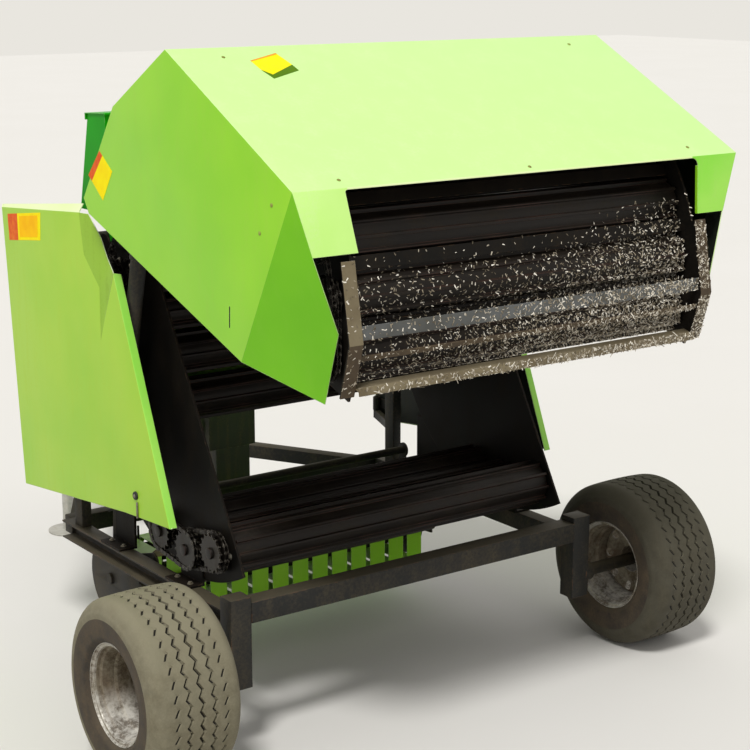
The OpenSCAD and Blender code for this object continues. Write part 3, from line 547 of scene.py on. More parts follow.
light = {
    "sky": 0.6, "sun": 2.15, "sunAngle": 12, "toSun": (-0.4, -0.36, 0.84), "backdrop": "#E9E6DF",
    "floor": ("#DEDBD4", "#E2DFD9"), "floorCloud": 1000 / 0.6, "floorLevels": 4, "floorHalf": 40,
    "floorRough": 0.95,
}
sun = bpy.data.objects.new("softSun", bpy.data.lights.new("softSun", "SUN"))
sun.data.energy = light["sun"]
sun.data.angle = math.radians(light["sunAngle"])
sun.rotation_euler = Vector(light["toSun"]).to_track_quat("Z", "Y").to_euler()
scene.collection.objects.link(sun)

world = bpy.data.worlds.new("paleStudio")
scene.world = world
world.use_nodes = True
sky = world.node_tree
sky.nodes.clear()
rays = addNode(sky, "ShaderNodeLightPath")
seen = addNode(sky, "ShaderNodeMath", operation="MAXIMUM",
               inputs={0: rays.outputs["Is Camera Ray"], 1: rays.outputs["Is Glossy Ray"]})
lit = addNode(sky, "ShaderNodeBackground", {"Color": (1, 1, 1, 1), "Strength": light["sky"]})
backdrop = addNode(sky, "ShaderNodeBackground", {"Color": light["backdrop"], "Strength": 1.0})
either = addNode(sky, "ShaderNodeMixShader", {0: seen, 1: lit, 2: backdrop})
addNode(sky, "ShaderNodeOutputWorld", {0: either})

floorPaint, floorTree, shader, coords = newFinish("studioFloor")
floorNoise = noise(floorTree, coords["Object"], light["floorCloud"], light["floorLevels"])
floorTone = blend(floorTree, floorNoise, *light["floor"])
setInputs(shader, {"Roughness": light["floorRough"], "Base Color": floorTone})
reach = light["floorHalf"]
floorEdge = [(-reach, -reach, 0), (reach, -reach, 0), (reach, reach, 0), (-reach, reach, 0)]
floor = newPiece("studioFloor", floorEdge, [(0, 1, 2, 3)], floorPaint)
print("camera and light set")

# Hood of the tailgate, as [forward, up] from its pivot when shut
hood = {
    "half": 905, "exitHalf": 721, "wall": 3, "fold": 8, "inside": (-600, -300),
    "frontLow": (-1, -38), "frontTop": (-8, 23), "crown": (-401, 118), "shoulder": (-807, 35),
    "back": (-1112, -713), "tip": (-533, -939), "strip": 194, "stripDeg": -52.2, "stripLow": 843,
    "lip": 6, "cornerRounds": {-1: 7, 1: 26}, "roundSteps": 6, "skews": {-1: 40, 1: 0}, "hem": 22,
    "exitHem": 12, "earRound": 30, "earIn": 7, "earCut": 50, "earSteps": 32, "slotSteps": 6,
    "slot": [(-589.5, -777), (-547.5, -823)], "slotRound": 3, "slotCut": 10, "cornerFold": 31,
    "corner": [(360, -265), (609.5, -295)],
}


def downStrip(x, down, inward=0):  # a point on the plane of the rear strips
    turn = math.radians(hood["stripDeg"])
    forward, up = hood["back"]
    return fromPivot(x, forward + down * math.cos(turn) - inward * math.sin(turn),
                     up + down * math.sin(turn) + inward * math.cos(turn))


def onCorner(side, along, out):  # a point on the folded corner panel
    (y0, z0), (y1, z1) = hood["back"], hood["tip"]
    length = math.hypot(y1 - y0, z1 - z0)
    ey, ez = (y1 - y0) / length, (z1 - z0) / length
    flat, aside = polar(out, math.radians(hood["cornerFold"]))
    return fromPivot(side * (hood["half"] + aside), y0 + ey * along - ez * flat, z0 + ez * along + ey * flat)


def makeHood():
    h, e, low, lip, hem = (hood[k] for k in ("half", "exitHalf", "strip", "lip", "exitHem"))
    bends = {side: e - r for side, r in hood["cornerRounds"].items()}
    # tones: the sides lime; the roof and left strip sun-faded, with a painted highlight; the left corner panel
    # and tip hems in painted shade; the right strip and the lip over the opening in painted highlights
    lime, sunFadedLit, deep, rearLit, lipped = range(5)
    faces, tones = [], []

    def add(tone, corners):
        faces.append(corners)
        tones.append(tone)

    def row(key, *xs):
        return [fromPivot(x, *hood[key]) for x in xs]

    for a, b in (("frontTop", "crown"), ("crown", "shoulder")):
        add(sunFadedLit, row(a, -h, h) + row(b, h, -h))
    add(sunFadedLit, row("shoulder", -h, h) + row("back", h, bends[1], -bends[-1], -h))
    for side in (-1, 1):
        r, bend, foot = hood["cornerRounds"][side], bends[side], side * e + hood["skews"][side]
        arc = [polar(r, math.pi / 2 * i / hood["roundSteps"]) for i in range(hood["roundSteps"] + 1)]
        add(rearLit if side > 0 else sunFadedLit,
            [downStrip(side * h, 0), downStrip(side * hood["stripLow"], low), downStrip(foot, low)]
            + [downStrip(side * (bend + x), lip + r - up) for x, up in arc] + [downStrip(side * bend, 0)])
        add(lime, [downStrip(foot, low), downStrip(side * e, lip + r), downStrip(side * e, lip + r, hem),
                   downStrip(foot, low, hem)])
    add(lipped, [downStrip(-bends[-1], 0), downStrip(bends[1], 0), downStrip(bends[1], lip),
                 downStrip(-bends[-1], lip)])
    for side in (-1, 1):
        add(lime, [p for key in ("frontLow", "frontTop", "crown", "shoulder", "back", "tip")
                   for p in row(key, side * h)])
        add(deep if side < 0 else lime, [downStrip(side * h, 0), downStrip(side * hood["stripLow"], low)]
            + [onCorner(side, *p) for p in hood["corner"]] + row("tip", side * h))
        inner = side * (h - hood["hem"])
        add(deep, row("tip", side * h) + row("frontLow", side * h, inner) + row("tip", inner))
    piece = foldSheet("hood_shell", faces, [limePaint, sunFadedLitLime, shadedLime, rearLitLime, highlitCream], tones,
                      (hood["wall"], hood["fold"], insideShade, edgeHighlight), fromPivot(0, *hood["inside"]))
    cutters = []
    for side in (-1, 1):
        ring = [fromPivot(side * (machine["chamberHalf"] - hood["earIn"]), *polar(hood["earRound"], t))
                for t in circle(hood["earSteps"])]
        cutters.append(slab("earCutter", ring, right * side * hood["earCut"] / 1000, insideShade))
    (y0, z0), (y1, z1) = hood["slot"]
    way = math.atan2(z1 - z0, y1 - y0)
    ring = []
    for (y, z), start in (((y0, z0), 90), ((y1, z1), -90)):
        for k in range(hood["slotSteps"] + 1):
            dy, dz = polar(hood["slotRound"], way + math.radians(start + 180 * k / hood["slotSteps"]))
            ring.append(fromPivot(-h - hood["slotCut"], y + dy, z + dz))
    cutters.append(slab("slotCutter", ring, right * 2 * hood["slotCut"] / 1000, insideShade))
    cutAway(piece, cutters)
    fit(piece, "tailgate", "lime_paint", "tail_hood")


makeHood()
print("hood folded")

# Side guards: a pressed door with turned edges, its rear top corner bent in, [y, z] on the machine
guard = {
    "face": 858, "wall": 3, "fold": 5, "inside": (300, 900, 1100),
    "front": (1524, 1700), "rearTop": (612, 1566), "rearLow": (264, 739), "low": (585, 715),
    "frontLow": (1423, 617), "crease": [(861, 1755), (833, 1608), (721, 1506), (687, 1405)],
    "flap": [(799, 1756, 6), (720, 1680, 12), (679, 1615, 13), (626, 1573, 6)],
    "top": [(850, 1787, 14), (1524, 1712, 5)], "rearTurn": 30, "frontTurn": 14, "lowTurn": 12,
    "hingeY": 1410, "hingeX": 835, "hingeRound": 16, "hingeBore": 10.5, "hingeEase": 1.5, "hingeTall": 60,
    "hinges": (665.3, 1560.3), "leaf": 150, "leafPast": 8, "leafEnd": 10, "leafIn": 9, "leafThick": 6.5,
    "knob": (497, 801), "knobIn": 3, "latch": [(486, 779), (486, 722)], "rodOut": 3, "rod": 4, "rodSteps": 24,
    "grip": [(0, 0), (15, 0), (15, 8), (12.5, 10.5), (9, 11), (8, 9.5), (0, 9.5)],
    "pin": [(0, 9), (6.5, 9), (6.5, 11.5), (5, 12.4), (0, 12.6)],
}


def makeGuard(side, body, node):
    def spot(y, z, inward=0):
        return place(side * (guard["face"] - inward), y, z)

    # tones: the door plain; the bent flap in painted shade; the top flange and the rear flange in painted
    # highlights
    plain, flapped, topped, flanged = range(4)
    corners = [guard[key] for key in ("front", "rearTop", "rearLow", "low", "frontLow")]
    front, rearTop, rearLow, low, frontLow = corners
    c, f = [spot(*p) for p in guard["crease"]], [spot(*p) for p in guard["flap"]]
    faces = [[spot(*front)] + c + [spot(*p) for p in corners[1:]],
             [spot(*front), c[0]] + [spot(*p) for p in guard["top"]]]
    faces += [[c[0], f[0], c[1]], [c[1], f[0], f[1]], [c[1], f[1], c[2]], [c[2], f[1], f[2]],
              [c[2], f[2], f[3]], [c[2], f[3], c[3]], [c[3], f[3], spot(*rearTop)]]
    tones = [plain, topped] + [flapped] * 7 + [flanged] + [plain] * 3
    for p, q, turn in ((rearTop, rearLow, guard["rearTurn"]), (rearLow, low, guard["lowTurn"]),
                       (low, frontLow, guard["lowTurn"]), (frontLow, front, guard["frontTurn"])):
        faces.append([spot(*p), spot(*q), spot(*q, turn), spot(*p, turn)])
    x, y, z = guard["inside"]
    sheet = foldSheet(node + "_sheet", faces, [guardPaint, shadedFlap, highlitCream, rearLitLime], tones,
                      (guard["wall"], guard["fold"], insideShade, edgeHighlight), place(side * x, y, z))
    fit(sheet, body, "lime_paint", node)
    hinges = []
    bore, out, ease, tall = (guard["hinge" + key] for key in ("Bore", "Round", "Ease", "Tall"))
    end = guard["leafEnd"]
    for z in guard["hinges"]:
        hinges.append(turnedSolid("knuckle", place(side * guard["hingeX"], guard["hingeY"], z), upwards,
                                  [(bore, 0), (out - ease, 0), (out, ease), (out, tall - ease),
                                   (out - ease, tall), (bore, tall)], chassisBlack))
        leaf = [spot(guard["hingeY"] + y, z + h, guard["leafIn"])
                for y, h in ((-guard["leaf"], end), (guard["leafPast"], end), (guard["leafPast"], tall - end),
                             (-guard["leaf"], tall - end))]
        hinges.append(slab("leaf", leaf, right * side * guard["leafThick"] / 1000, chassisBlack))
    fit(joined(node + "_hinges", hinges), body, "black_paint")
    start, outward = spot(*guard["knob"], guard["knobIn"]), right * side
    upper, lower = (spot(*p, -guard["rodOut"]) for p in guard["latch"])
    length = (lower - upper).length * 1000
    rod = [(0, 0), (guard["rod"], 0), (guard["rod"], length), (0, length)]
    knob = [turnedSolid("grip", start, outward, guard["grip"], blackPlastic),
            turnedSolid("pin", start, outward, guard["pin"], boltZinc),
            turnedSolid("latchRod", upper, lower - upper, rod, boltZinc, guard["rodSteps"])]
    fit(joined(node + "_knob", knob), body, "black_paint")


makeGuard(-1, "guard_door_left", "guard_left")
makeGuard(1, "guard_door_right", "guard_right")
print("guards pressed")

# Road tyres: implement tread of zigzag grooves, fine ones beside a full middle one
tyre = {
    "radius": 320, "half": 165, "treadHalf": 112, "bead": 171, "beadHalf": 137, "wide": 245, "crown": 3.5,
    "track": 2150, "zigzags": 44, "zig": 7, "scrub": 0.6, "grooveHalf": 4.6, "grooveEase": 1.2,
    "wallBelow": 250, "grooves": [(-88, 4, 0.3), (-45, 8, 0.55), (0, 9, 1.0), (45, 8, 0.55), (88, 4, 0.3)],
    "wallRibs": [(2.2, 268, 5), (3.0, 190, 6)], "lowSteps": 12, "highSteps": 14, "smoothDeg": 40,
}


def tyreOutline():
    # columns across the tyre: [along, radius, groove depth, share of the pitch that is cut, zigzag share]
    rows = []
    for i in range(tyre["lowSteps"] + 1):
        rise, out = polar(1, math.radians(90 * i / tyre["lowSteps"]))
        rows.append([-(tyre["beadHalf"] + (tyre["half"] - tyre["beadHalf"]) * out),
                     tyre["wide"] - (tyre["wide"] - tyre["bead"]) * rise, 0, 0, 0])
    for i in range(1, tyre["highSteps"] + 1):
        out, rise = polar(1, math.radians(90 * i / tyre["highSteps"]))
        rows.append([-(tyre["treadHalf"] + (tyre["half"] - tyre["treadHalf"]) * out),
                     tyre["wide"] + (tyre["radius"] - tyre["crown"] - tyre["wide"]) * rise, 0, 0, 0])
    for row in rows:  # a raised band and a rim guard on the sidewall
        row[0] -= sum(tall * math.exp(-((row[1] - at) / wide) ** 2) for tall, at, wide in tyre["wallRibs"])
    tread, g, ease = [], tyre["grooveHalf"], tyre["grooveEase"]
    for centre, depth, share in tyre["grooves"]:
        for shift, cut in ((-g - ease, 0), (-g + ease, 1), (g - ease, 1), (g + ease, 0)):
            along = centre + shift
            radius = tyre["radius"] - tyre["crown"] * (along / tyre["treadHalf"]) ** 2
            tread.append([along, radius, depth * cut, share, 1])
    return rows + tread + [[-r[0], *r[1:]] for r in reversed(rows)]


def makeTyre(side, name):
    columns, around = tyreOutline(), tyre["zigzags"] * 4
    centre = place(side * tyre["track"] / 2, 0, tyre["radius"])
    tread, wall, groove = range(3)
    points, tones = [], []
    for i, turn in enumerate(circle(around)):
        phase = (i % 4) / 4
        zig = tyre["zig"] * (1 - abs(4 * phase - 2))
        for column, after in zip(columns, columns[1:] + columns[:1]):
            along, radius, depth, share, shift = column
            inCut = share >= 1 or phase < share
            r = radius - (depth if inCut else tyre["scrub"] * (depth > 0))
            points.append(centre + Vector(((along + zig * shift) * side, *polar(r, turn))) / 1000)
            onTread = min(radius, after[1]) > tyre["wallBelow"] and after is not columns[0]
            tones.append(groove if depth > 0 and after[2] > 0 and inCut else tread if onTread else wall)
    piece = newPiece(f"tyre_{name}_treaded", points, ringFaces(around, len(columns), True),
                     [treadRubber if side < 0 else shadedTread, wallRubber, grooveRubber])
    tint(piece, tones)
    outwards(piece.data)
    smoothBelow(piece.data, tyre["smoothDeg"])
    fit(piece, "wheel_" + name, "tyre_rubber", "tyre_" + name)


rim = {
    "handHoles": 8, "handRing": 110, "handRound": 17, "handFrom": -60, "handCut": 90, "handSteps": 24,
    "wall": 4, "dustyHalf": 128, "dustyRadius": 158, "dishBack": (0, 42), "dishThick": (5, 8),
    "barrel": [(171, 146), (173.5, 143), (171, 139), (164, 137), (161, 130), (160, 118), (154, 112), (151, 96),
               (150, 70), (143, 62), (141, 20)],
    "dish": [(141, -12), (132, -20), (120, -22), (98, -14), (84, -10), (58, -10), (54, -4), (52, 22), (46, 40),
             (40, 47), (0, 50)],
}


def makeRim(side, name):
    centre = place(side * tyre["track"] / 2, 0, tyre["radius"])
    matrix = Matrix.Translation(centre) @ Matrix.Diagonal((side, 1, 1, 1))
    outer, dish, wall = rim["barrel"], rim["dish"], rim["wall"]
    barrel = lathe(f"rim_{name}_barrel", outer + [(r, -a) for r, a in reversed(outer)]
                   + [(r - wall, -a) for r, a in outer[1:]] + [(r - wall, a) for r, a in reversed(outer[1:])],
                   [rimSilver, rimInside], matrix)
    for face in barrel.data.polygons:
        x, y, z = (face.center - centre) * 1000
        face.material_index = 1 if abs(x) < rim["dustyHalf"] and math.hypot(y, z) < rim["dustyRadius"] else 0
    fit(barrel, "wheel_" + name, "rim_paint", "rim_" + name)
    thin, back = rim["dishThick"]
    disc = lathe(f"rim_{name}_disc", dish + [rim["dishBack"]]
                 + [(max(r - thin, 0), a - back) for r, a in reversed(dish[:-1])], rimInside, matrix)
    cutters = []
    for turn in circle(rim["handHoles"]):
        y, z = polar(rim["handRing"], turn)
        ring = [matrix @ (Vector((rim["handFrom"], y + dy, z + dz)) / 1000)
                for dy, dz in (polar(rim["handRound"], t) for t in circle(rim["handSteps"]))]
        cutters.append(slab("handCutter", ring, right * side * rim["handCut"] / 1000, insideShade))
    cutAway(disc, cutters)
    fit(disc, "wheel_" + name, "rim_paint")


for side, name in sideNames:
    makeTyre(side, name)
    makeRim(side, name)
print("wheels made")


# Geometry Nodes for small parts that repeat
def newTree(name, **inputs):
    tree = bpy.data.node_groups.new(name, "GeometryNodeTree")
    for key, kind in inputs.items():
        tree.interface.new_socket(key, in_out="INPUT", socket_type="NodeSocket" + kind)
    tree.interface.new_socket("Geometry", in_out="OUTPUT", socket_type="NodeSocketGeometry")
    return tree, addNode(tree, "NodeGroupInput").outputs


def finishTree(tree, given, instances):
    plain = addNode(tree, "GeometryNodeRealizeInstances", {"Geometry": instances})
    painted = addNode(tree, "GeometryNodeSetMaterial", {"Geometry": plain, "Material": given["Finish"]})
    addNode(tree, "NodeGroupOutput", {"Geometry": painted})
    return tree


def attribute(tree, name, kind):
    return addNode(tree, "GeometryNodeInputNamedAttribute", {"Name": name}, data_type=kind)


def modelTree():  # a model at each point, its Z axis to "facing", its X axis to "along"
    tree, given = newTree("modelsAtPoints", Points="Geometry", Model="Object", Finish="Material")
    model = addNode(tree, "GeometryNodeObjectInfo", {"Object": given["Model"]})
    upright = addNode(tree, "FunctionNodeAlignRotationToVector",
                      {"Vector": attribute(tree, "facing", "FLOAT_VECTOR")}, axis="Z")
    turned = addNode(tree, "FunctionNodeAlignRotationToVector", {
        "Rotation": upright, "Vector": attribute(tree, "along", "FLOAT_VECTOR")}, axis="X", pivot_axis="Z")
    placed = addNode(tree, "GeometryNodeInstanceOnPoints", {
        "Points": given["Points"], "Instance": model.outputs["Geometry"], "Rotation": turned})
    return finishTree(tree, given, placed)


setOut = modelTree()


def useTree(piece, tree, **given):  # inputs are set by socket identifier before the first evaluation
    modifier = piece.modifiers.new("nodes", "NODES")
    modifier.node_group = tree
    for item in tree.interface.items_tree:
        if item.in_out == "INPUT" and item.name in given:
            modifier[item.identifier] = given[item.name]


def setModels(name, spots, model, finish, angle=32):
    # spots are (point, facing, along); the result is one plain mesh
    points, facings, alongs = zip(*spots)
    piece = newPiece(name, points, [], [])
    for key, values in (("facing", facings), ("along", alongs)):
        layer = piece.data.attributes.new(key, "FLOAT_VECTOR", "POINT")
        for item, value in zip(layer.data, values):
            item.vector = value
    useTree(piece, setOut, Model=model, Finish=finish)
    settle(piece, angle)
    bpy.data.objects.remove(model)
    return piece


bolt = {"washer": 2, "washerSteps": 20, "under": 1.5, "sides": 6, "shoulder": 0.85, "chamfer": 0.86,
        "crispDeg": 20}


def hexBolt(across, tall, washer):  # a washer and a chamfered head
    r, base, under = across / math.sqrt(3), bolt["washer"], bolt["under"]
    return joined("hexBolt", [
        lathe("washer", [(0, 0), (washer, 0), (washer, base), (0, base)], insideShade, standing,
              bolt["washerSteps"]),
        lathe("head", [(0, under), (r, under), (r, base + tall * bolt["shoulder"]),
                       (r * bolt["chamfer"], base + tall), (0, base + tall)], insideShade, standing,
              bolt["sides"], bolt["crispDeg"])])


def setBolts(name, spots, size, body):
    fit(setModels(name, spots, hexBolt(*size), boltZinc), body, "bare_steel")


rivet = {
    "radius": 6.5, "tall": 3, "edge": 0.4, "sunk": -1, "turns": (22.5, 45, 72), "steps": 16, "smoothDeg": 60,
}


def rivetHead():  # a pressed dome
    r, edge = rivet["radius"], rivet["edge"]
    outline = [(0, rivet["sunk"]), (r, rivet["sunk"]), (r, edge)]
    for deg in rivet["turns"]:
        out, rise = polar(1, math.radians(deg))
        outline.append((r * out, edge + (rivet["tall"] - edge) * rise))
    outline.append((0, rivet["tall"]))
    return lathe("dome", outline, insideShade, standing, rivet["steps"], rivet["smoothDeg"])


bearings = {"bolts": 3, "ring": 50, "plateOut": 708, "front": (5, 3), "skipTail": 3}
fixings = {
    "roofRivets": [(-725.5, 60.5), (725.6, 60.5), (718.7, 754), (-3.9, 785), (-719.6, 768)],
    "sideRivets": [(-998, -679), (-888.5, -704)], "small": (13, 6, 11), "wheel": (21, 13, 16),
    "gear": (1380, 760), "gearHalf": 125, "gearRing": 62, "gearBolts": 6, "footTop": 503, "footX": 748,
    "feet": [295, 790], "footWide": 150, "footShares": (0.2, 0.8), "wheelRing": 74, "wheelBolts": 6,
    "dishFace": -10,
}


def bearingSpots(angles, side, turn, move):
    spots = []
    for a in angles:
        for way in circle(bearings["bolts"], 0.5):
            p = aroundChamber(a, machine["rollerRing"])
            p += Vector((0, *polar(bearings["ring"], math.radians(a) + way)))
            spots.append((move(side * bearings["plateOut"], p.y, p.z), turn @ (right * side), turn @ ahead))
    return spots


def onRoof(x, down):  # a point on the roof, by its distance below the shoulder fold
    (y0, z0), (y1, z1) = hood["shoulder"], hood["back"]
    share = down / math.hypot(y1 - y0, z1 - z0)
    return fromPivot(x, y0 + (y1 - y0) * share, z0 + (z1 - z0) * share)


outRoof = (onRoof(1, 0) - onRoof(0, 0)).cross(onRoof(0, 1) - onRoof(0, 0)).normalized()
outRoof = outRoof if outRoof.z > 0 else -outRoof
step, split = machine["rollerStep"], machine["splitDeg"]
tailAngles = [split + (i + 0.5) * step for i in range(machine["tailRollers"])]
frontUpper = [split - (i + 0.5) * step for i in range(bearings["front"][0])]
frontLower = [split - 180 + (i + 0.5) * step for i in range(bearings["front"][1])]
tailBolts, bodyBolts = [], []
rivets = [(onRoof(x, down), outRoof, right) for x, down in fixings["roofRivets"]]
for side, name in sideNames:
    outward = right * side
    tailBolts += bearingSpots(tailAngles[bearings["skipTail"]:], side, gateTurn, onTailgate)
    bodyBolts += bearingSpots(frontUpper[1:] + frontLower[:-1], side, noTurn, place)
    for y in fixings["feet"]:
        for share in fixings["footShares"]:
            spot = place(side * fixings["footX"], y + fixings["footWide"] * share, fixings["footTop"])
            bodyBolts.append((spot, upwards, ahead))
    gearY, gearZ = fixings["gear"]
    for turn in circle(fixings["gearBolts"]):
        y, z = polar(fixings["gearRing"], turn)
        bodyBolts.append((place(side * fixings["gearHalf"], gearY + y, gearZ + z), outward, ahead))
    rivets += [(fromPivot(side * hood["half"], *p), outward, ahead) for p in fixings["sideRivets"]]
    nuts = []
    for turn in circle(fixings["wheelBolts"], 0.5):
        y, z = polar(fixings["wheelRing"], turn)
        spot = place(side * (tyre["track"] / 2 + fixings["dishFace"]), y, tyre["radius"] + z)
        nuts.append((spot, outward, ahead))
    setBolts("wheel_nuts_" + name, nuts, fixings["wheel"], "wheel_" + name)
setBolts("tail_bolts", tailBolts, fixings["small"], "tailgate")
setBolts("body_bolts", bodyBolts, fixings["small"], "chassis")
fit(setModels("hood_rivets", rivets, rivetHead(), rivetBrown, rivet["smoothDeg"]), "tailgate", "bare_steel")
print("bolts set")

# Roller chains: side plates, bushes and pins, link by link along each loop
rollerGap = 2 * machine["rollerRing"] * math.sin(math.radians(machine["rollerStep"] / 2))
chain = {
    "pitch": rollerGap / machine["rollerLinks"],
    "tall": 17, "pinSteps": 10, "smoothDeg": 40,
    "plates": {"inner": (4.4, 5.7), "outer": (5.9, 7.1)}, "pins": {"inner": (5.2, 4.5), "outer": (3, 7.8)},
    "ends": (-90, -50, -15, 15, 50, 90), "waist": 0.78, "mainTeeth": 19, "mainX": 778, "wheelSteps": 24,
}


def toothRing(teeth):
    return chain["pitch"] / (2 * math.sin(math.pi / teeth))


def linkModel(kind):
    near, far = chain["plates"][kind]
    radius, width = chain["pins"][kind]
    tall, reach = chain["tall"] / 2, chain["pitch"] / 2
    ends = [polar(tall, math.radians(deg)) for deg in chain["ends"]]
    outline = [(reach + x, y) for x, y in ends] + [(0, tall * chain["waist"])]
    outline += [(-reach - x, -y) for x, y in ends] + [(0, -tall * chain["waist"])]
    parts = [slab("plate", [Vector((x, y, s * near)) / 1000 for x, y in outline],
                  upwards * s * (far - near) / 1000, insideShade) for s in (-1, 1)]
    parts += [lathe("pin", [(0, -width), (radius, -width), (radius, width), (0, width)], insideShade,
                    Matrix.Translation((s * reach / 1000, 0, 0)) @ standing, chain["pinSteps"],
                    chain["smoothDeg"]) for s in (-1, 1)]
    return joined("link", parts)


def loopSpots(p, q, rp, rq, x, move, turn):
    # link centres at equal steps round both wheels, from the middle of one straight run
    way = math.atan2(q[1] - p[1], q[0] - p[0])
    spread = math.acos((rp - rq) / math.hypot(q[0] - p[0], q[1] - p[1]))
    path, steps = [], chain["wheelSteps"]
    for (cy, cz), r, a, b in ((p, rp, way + spread, way + 2 * math.pi - spread),
                              (q, rq, way - spread, way + spread)):
        for i in range(steps + 1):
            y, z = polar(r, a + (b - a) * i / steps)
            path.append(Vector((0, cy + y, cz + z)))
    middle = (path[-1] + path[0]) / 2
    path = [middle] + path + [middle]
    lengths = [(b - a).length for a, b in zip(path, path[1:])]
    count = 2 * round(sum(lengths) / chain["pitch"] / 2)
    spots, walked, k = [], 0.0, 0
    for i in range(count):
        target = sum(lengths) * i / count
        while walked + lengths[k] < target:
            walked += lengths[k]
            k += 1
        at = path[k].lerp(path[k + 1], (target - walked) / lengths[k])
        spots.append((move(x, at.y, at.z), turn @ right, turn @ (path[k + 1] - path[k]).normalized()))
    return spots


def rollerAt(deg):
    p = aroundChamber(deg, machine["rollerRing"])
    return p.y, p.z


def rowSpots(angles, move, turn):
    spots, r = [], toothRing(machine["sprocketTeeth"])
    for i, (a, b) in enumerate(zip(angles, angles[1:])):
        x = -machine["leftSprocketX"] - (i % 2) * machine["sprocketStep"] - machine["sprocketThick"] / 2
        spots += loopSpots(rollerAt(a), rollerAt(b), r, r, x, move, turn)
    return spots


frontRows = rowSpots(frontUpper, place, noTurn) + rowSpots(frontLower, place, noTurn)
mainRun = loopSpots(fixings["gear"], rollerAt(frontUpper[-1]), toothRing(machine["sprocketTeeth"]),
                    toothRing(chain["mainTeeth"]), -chain["mainX"] - machine["sprocketThick"] / 2, place,
                    noTurn)
for name, spots, body, node in (
        ("tail_chain", rowSpots(tailAngles, onTailgate, gateTurn), "tailgate", "tail_chains"),
        ("body_chain", frontRows, "chassis", "front_chains"), ("main_chain", mainRun, "chassis", "main_chain")):
    for kind, links, stoodFor in (("inner", spots[::2], [node]), ("outer", spots[1::2], [])):
        piece = setModels(f"{name}_{kind}", links, linkModel(kind), chainSteel, chain["smoothDeg"])
        fit(piece, body, "bare_steel", *stoodFor)
print("chains linked")

# Coil at the foot of each spring tine, round its bar
reel = {
    "y": 1040, "z": 300, "barRing": 105, "bars": 4, "pitch": 95, "tines": 13, "coil": 17, "wire": 3,
    "turns": 2.5, "gap": 2.15, "wireSides": 6, "steps": 30, "smoothDeg": 60,
}


def coilModel():
    rings = []
    for i in range(reel["steps"] + 1):
        share = i / reel["steps"]
        out = Vector((*polar(1, 2 * math.pi * reel["turns"] * share), 0))
        rise = upwards * (share - 0.5) * reel["turns"] * reel["gap"] * reel["wire"]
        rings.append([(out * (reel["coil"] + dx) + rise + upwards * dz) / 1000
                      for dx, dz in (polar(reel["wire"], t) for t in circle(reel["wireSides"]))])
    return tube("coil", rings, insideShade)


coils = []
for turn in circle(reel["bars"]):
    out = Vector((0, *polar(1, turn)))
    foot = Vector((0, reel["y"], reel["z"])) + out * reel["barRing"]
    for i in range(reel["tines"]):
        coils.append((place((i - (reel["tines"] - 1) / 2) * reel["pitch"], foot.y, foot.z), right, out))
fit(setModels("tine_coils", coils, coilModel(), chassisBlack, reel["smoothDeg"]), "reel", "black_paint")
print("tine coils wound")

# Blank labels: thin vinyl on the sheet, as the photograph has them on the left and on the roof
labels = {  # [x, distance below the fold] on the roof, [forward, up] on the hood's side, [y, z] on the guard
    "thick": 0.8, "sunk": 0.4, "lift": 0.5,
    "roof": [(-641, 87), (-524, 47), (-504, 122), (-607, 176), (-633, 146)], "roofBand": 0.1,
    "roofFoot": [(-633, 146), (-607, 176), (-504, 122), (-499, 158), (-616, 200)],
    "side": [(-219.7, 69.6), (-247.5, -34.9), (-122.1, -66.4), (-95.2, 57.8)], "sideBand": 0.24,
    "guard": [(1470, 1680), (1462, 1580), (1188, 1613), (1178, 1718)], "guardBand": 0.3,
    "field": (0.36, 0.92), "fieldDown": (0.1, 0.88),
}


def label(name, corners, out, finish, body):
    sunk, thick = labels["sunk"], labels["thick"]
    fit(slab(name, [c - out * sunk / 1000 for c in corners], out * (thick + sunk) / 1000, finish), body)


def between(a, b, share):
    return tuple(p + (q - p) * share for p, q in zip(a, b))


a, b, c, d, e = labels["roof"]
near, far = between(a, e, labels["roofBand"]), between(b, c, labels["roofBand"])
for name, corners, finish in (("roof_label", (near, far, c, d, e), yellowVinyl),
                              ("roof_label_band", (a, b, far, near), orangeVinyl),
                              ("roof_label_foot", labels["roofFoot"], mossVinyl)):
    label(name, [onRoof(*p) for p in corners], outRoof, finish, "tailgate")
a, b, c, d = labels["side"]
near, far = between(a, b, labels["sideBand"]), between(d, c, labels["sideBand"])
for name, corners, finish in (("side_label_band", (a, d, far, near), orangeVinyl),
                              ("side_label", (near, far, c, b), yellowVinyl)):
    label(name, [fromPivot(-hood["half"], *p) for p in corners], -right, finish, "tailgate")
a, b, c, d = labels["guard"]
near, far = between(a, d, labels["guardBand"]), between(b, c, labels["guardBand"])
(top, topEnd), (low, lowEnd) = ((between(a, b, s), between(d, c, s)) for s in labels["fieldDown"])
first, last = labels["field"]
field = (between(top, topEnd, first), between(low, lowEnd, first), between(low, lowEnd, last),
         between(top, topEnd, last))
for name, corners, finish, lift in (("guard_label_band", (a, b, far, near), orangeVinyl, 0),
                                    ("guard_label", (near, far, c, d), yellowVinyl, 0),
                                    ("guard_label_field", field, amberVinyl, labels["lift"])):
    label(name, [place(-guard["face"] - lift, *p) for p in corners], -right, finish, "guard_door_left")
print("labels laid")

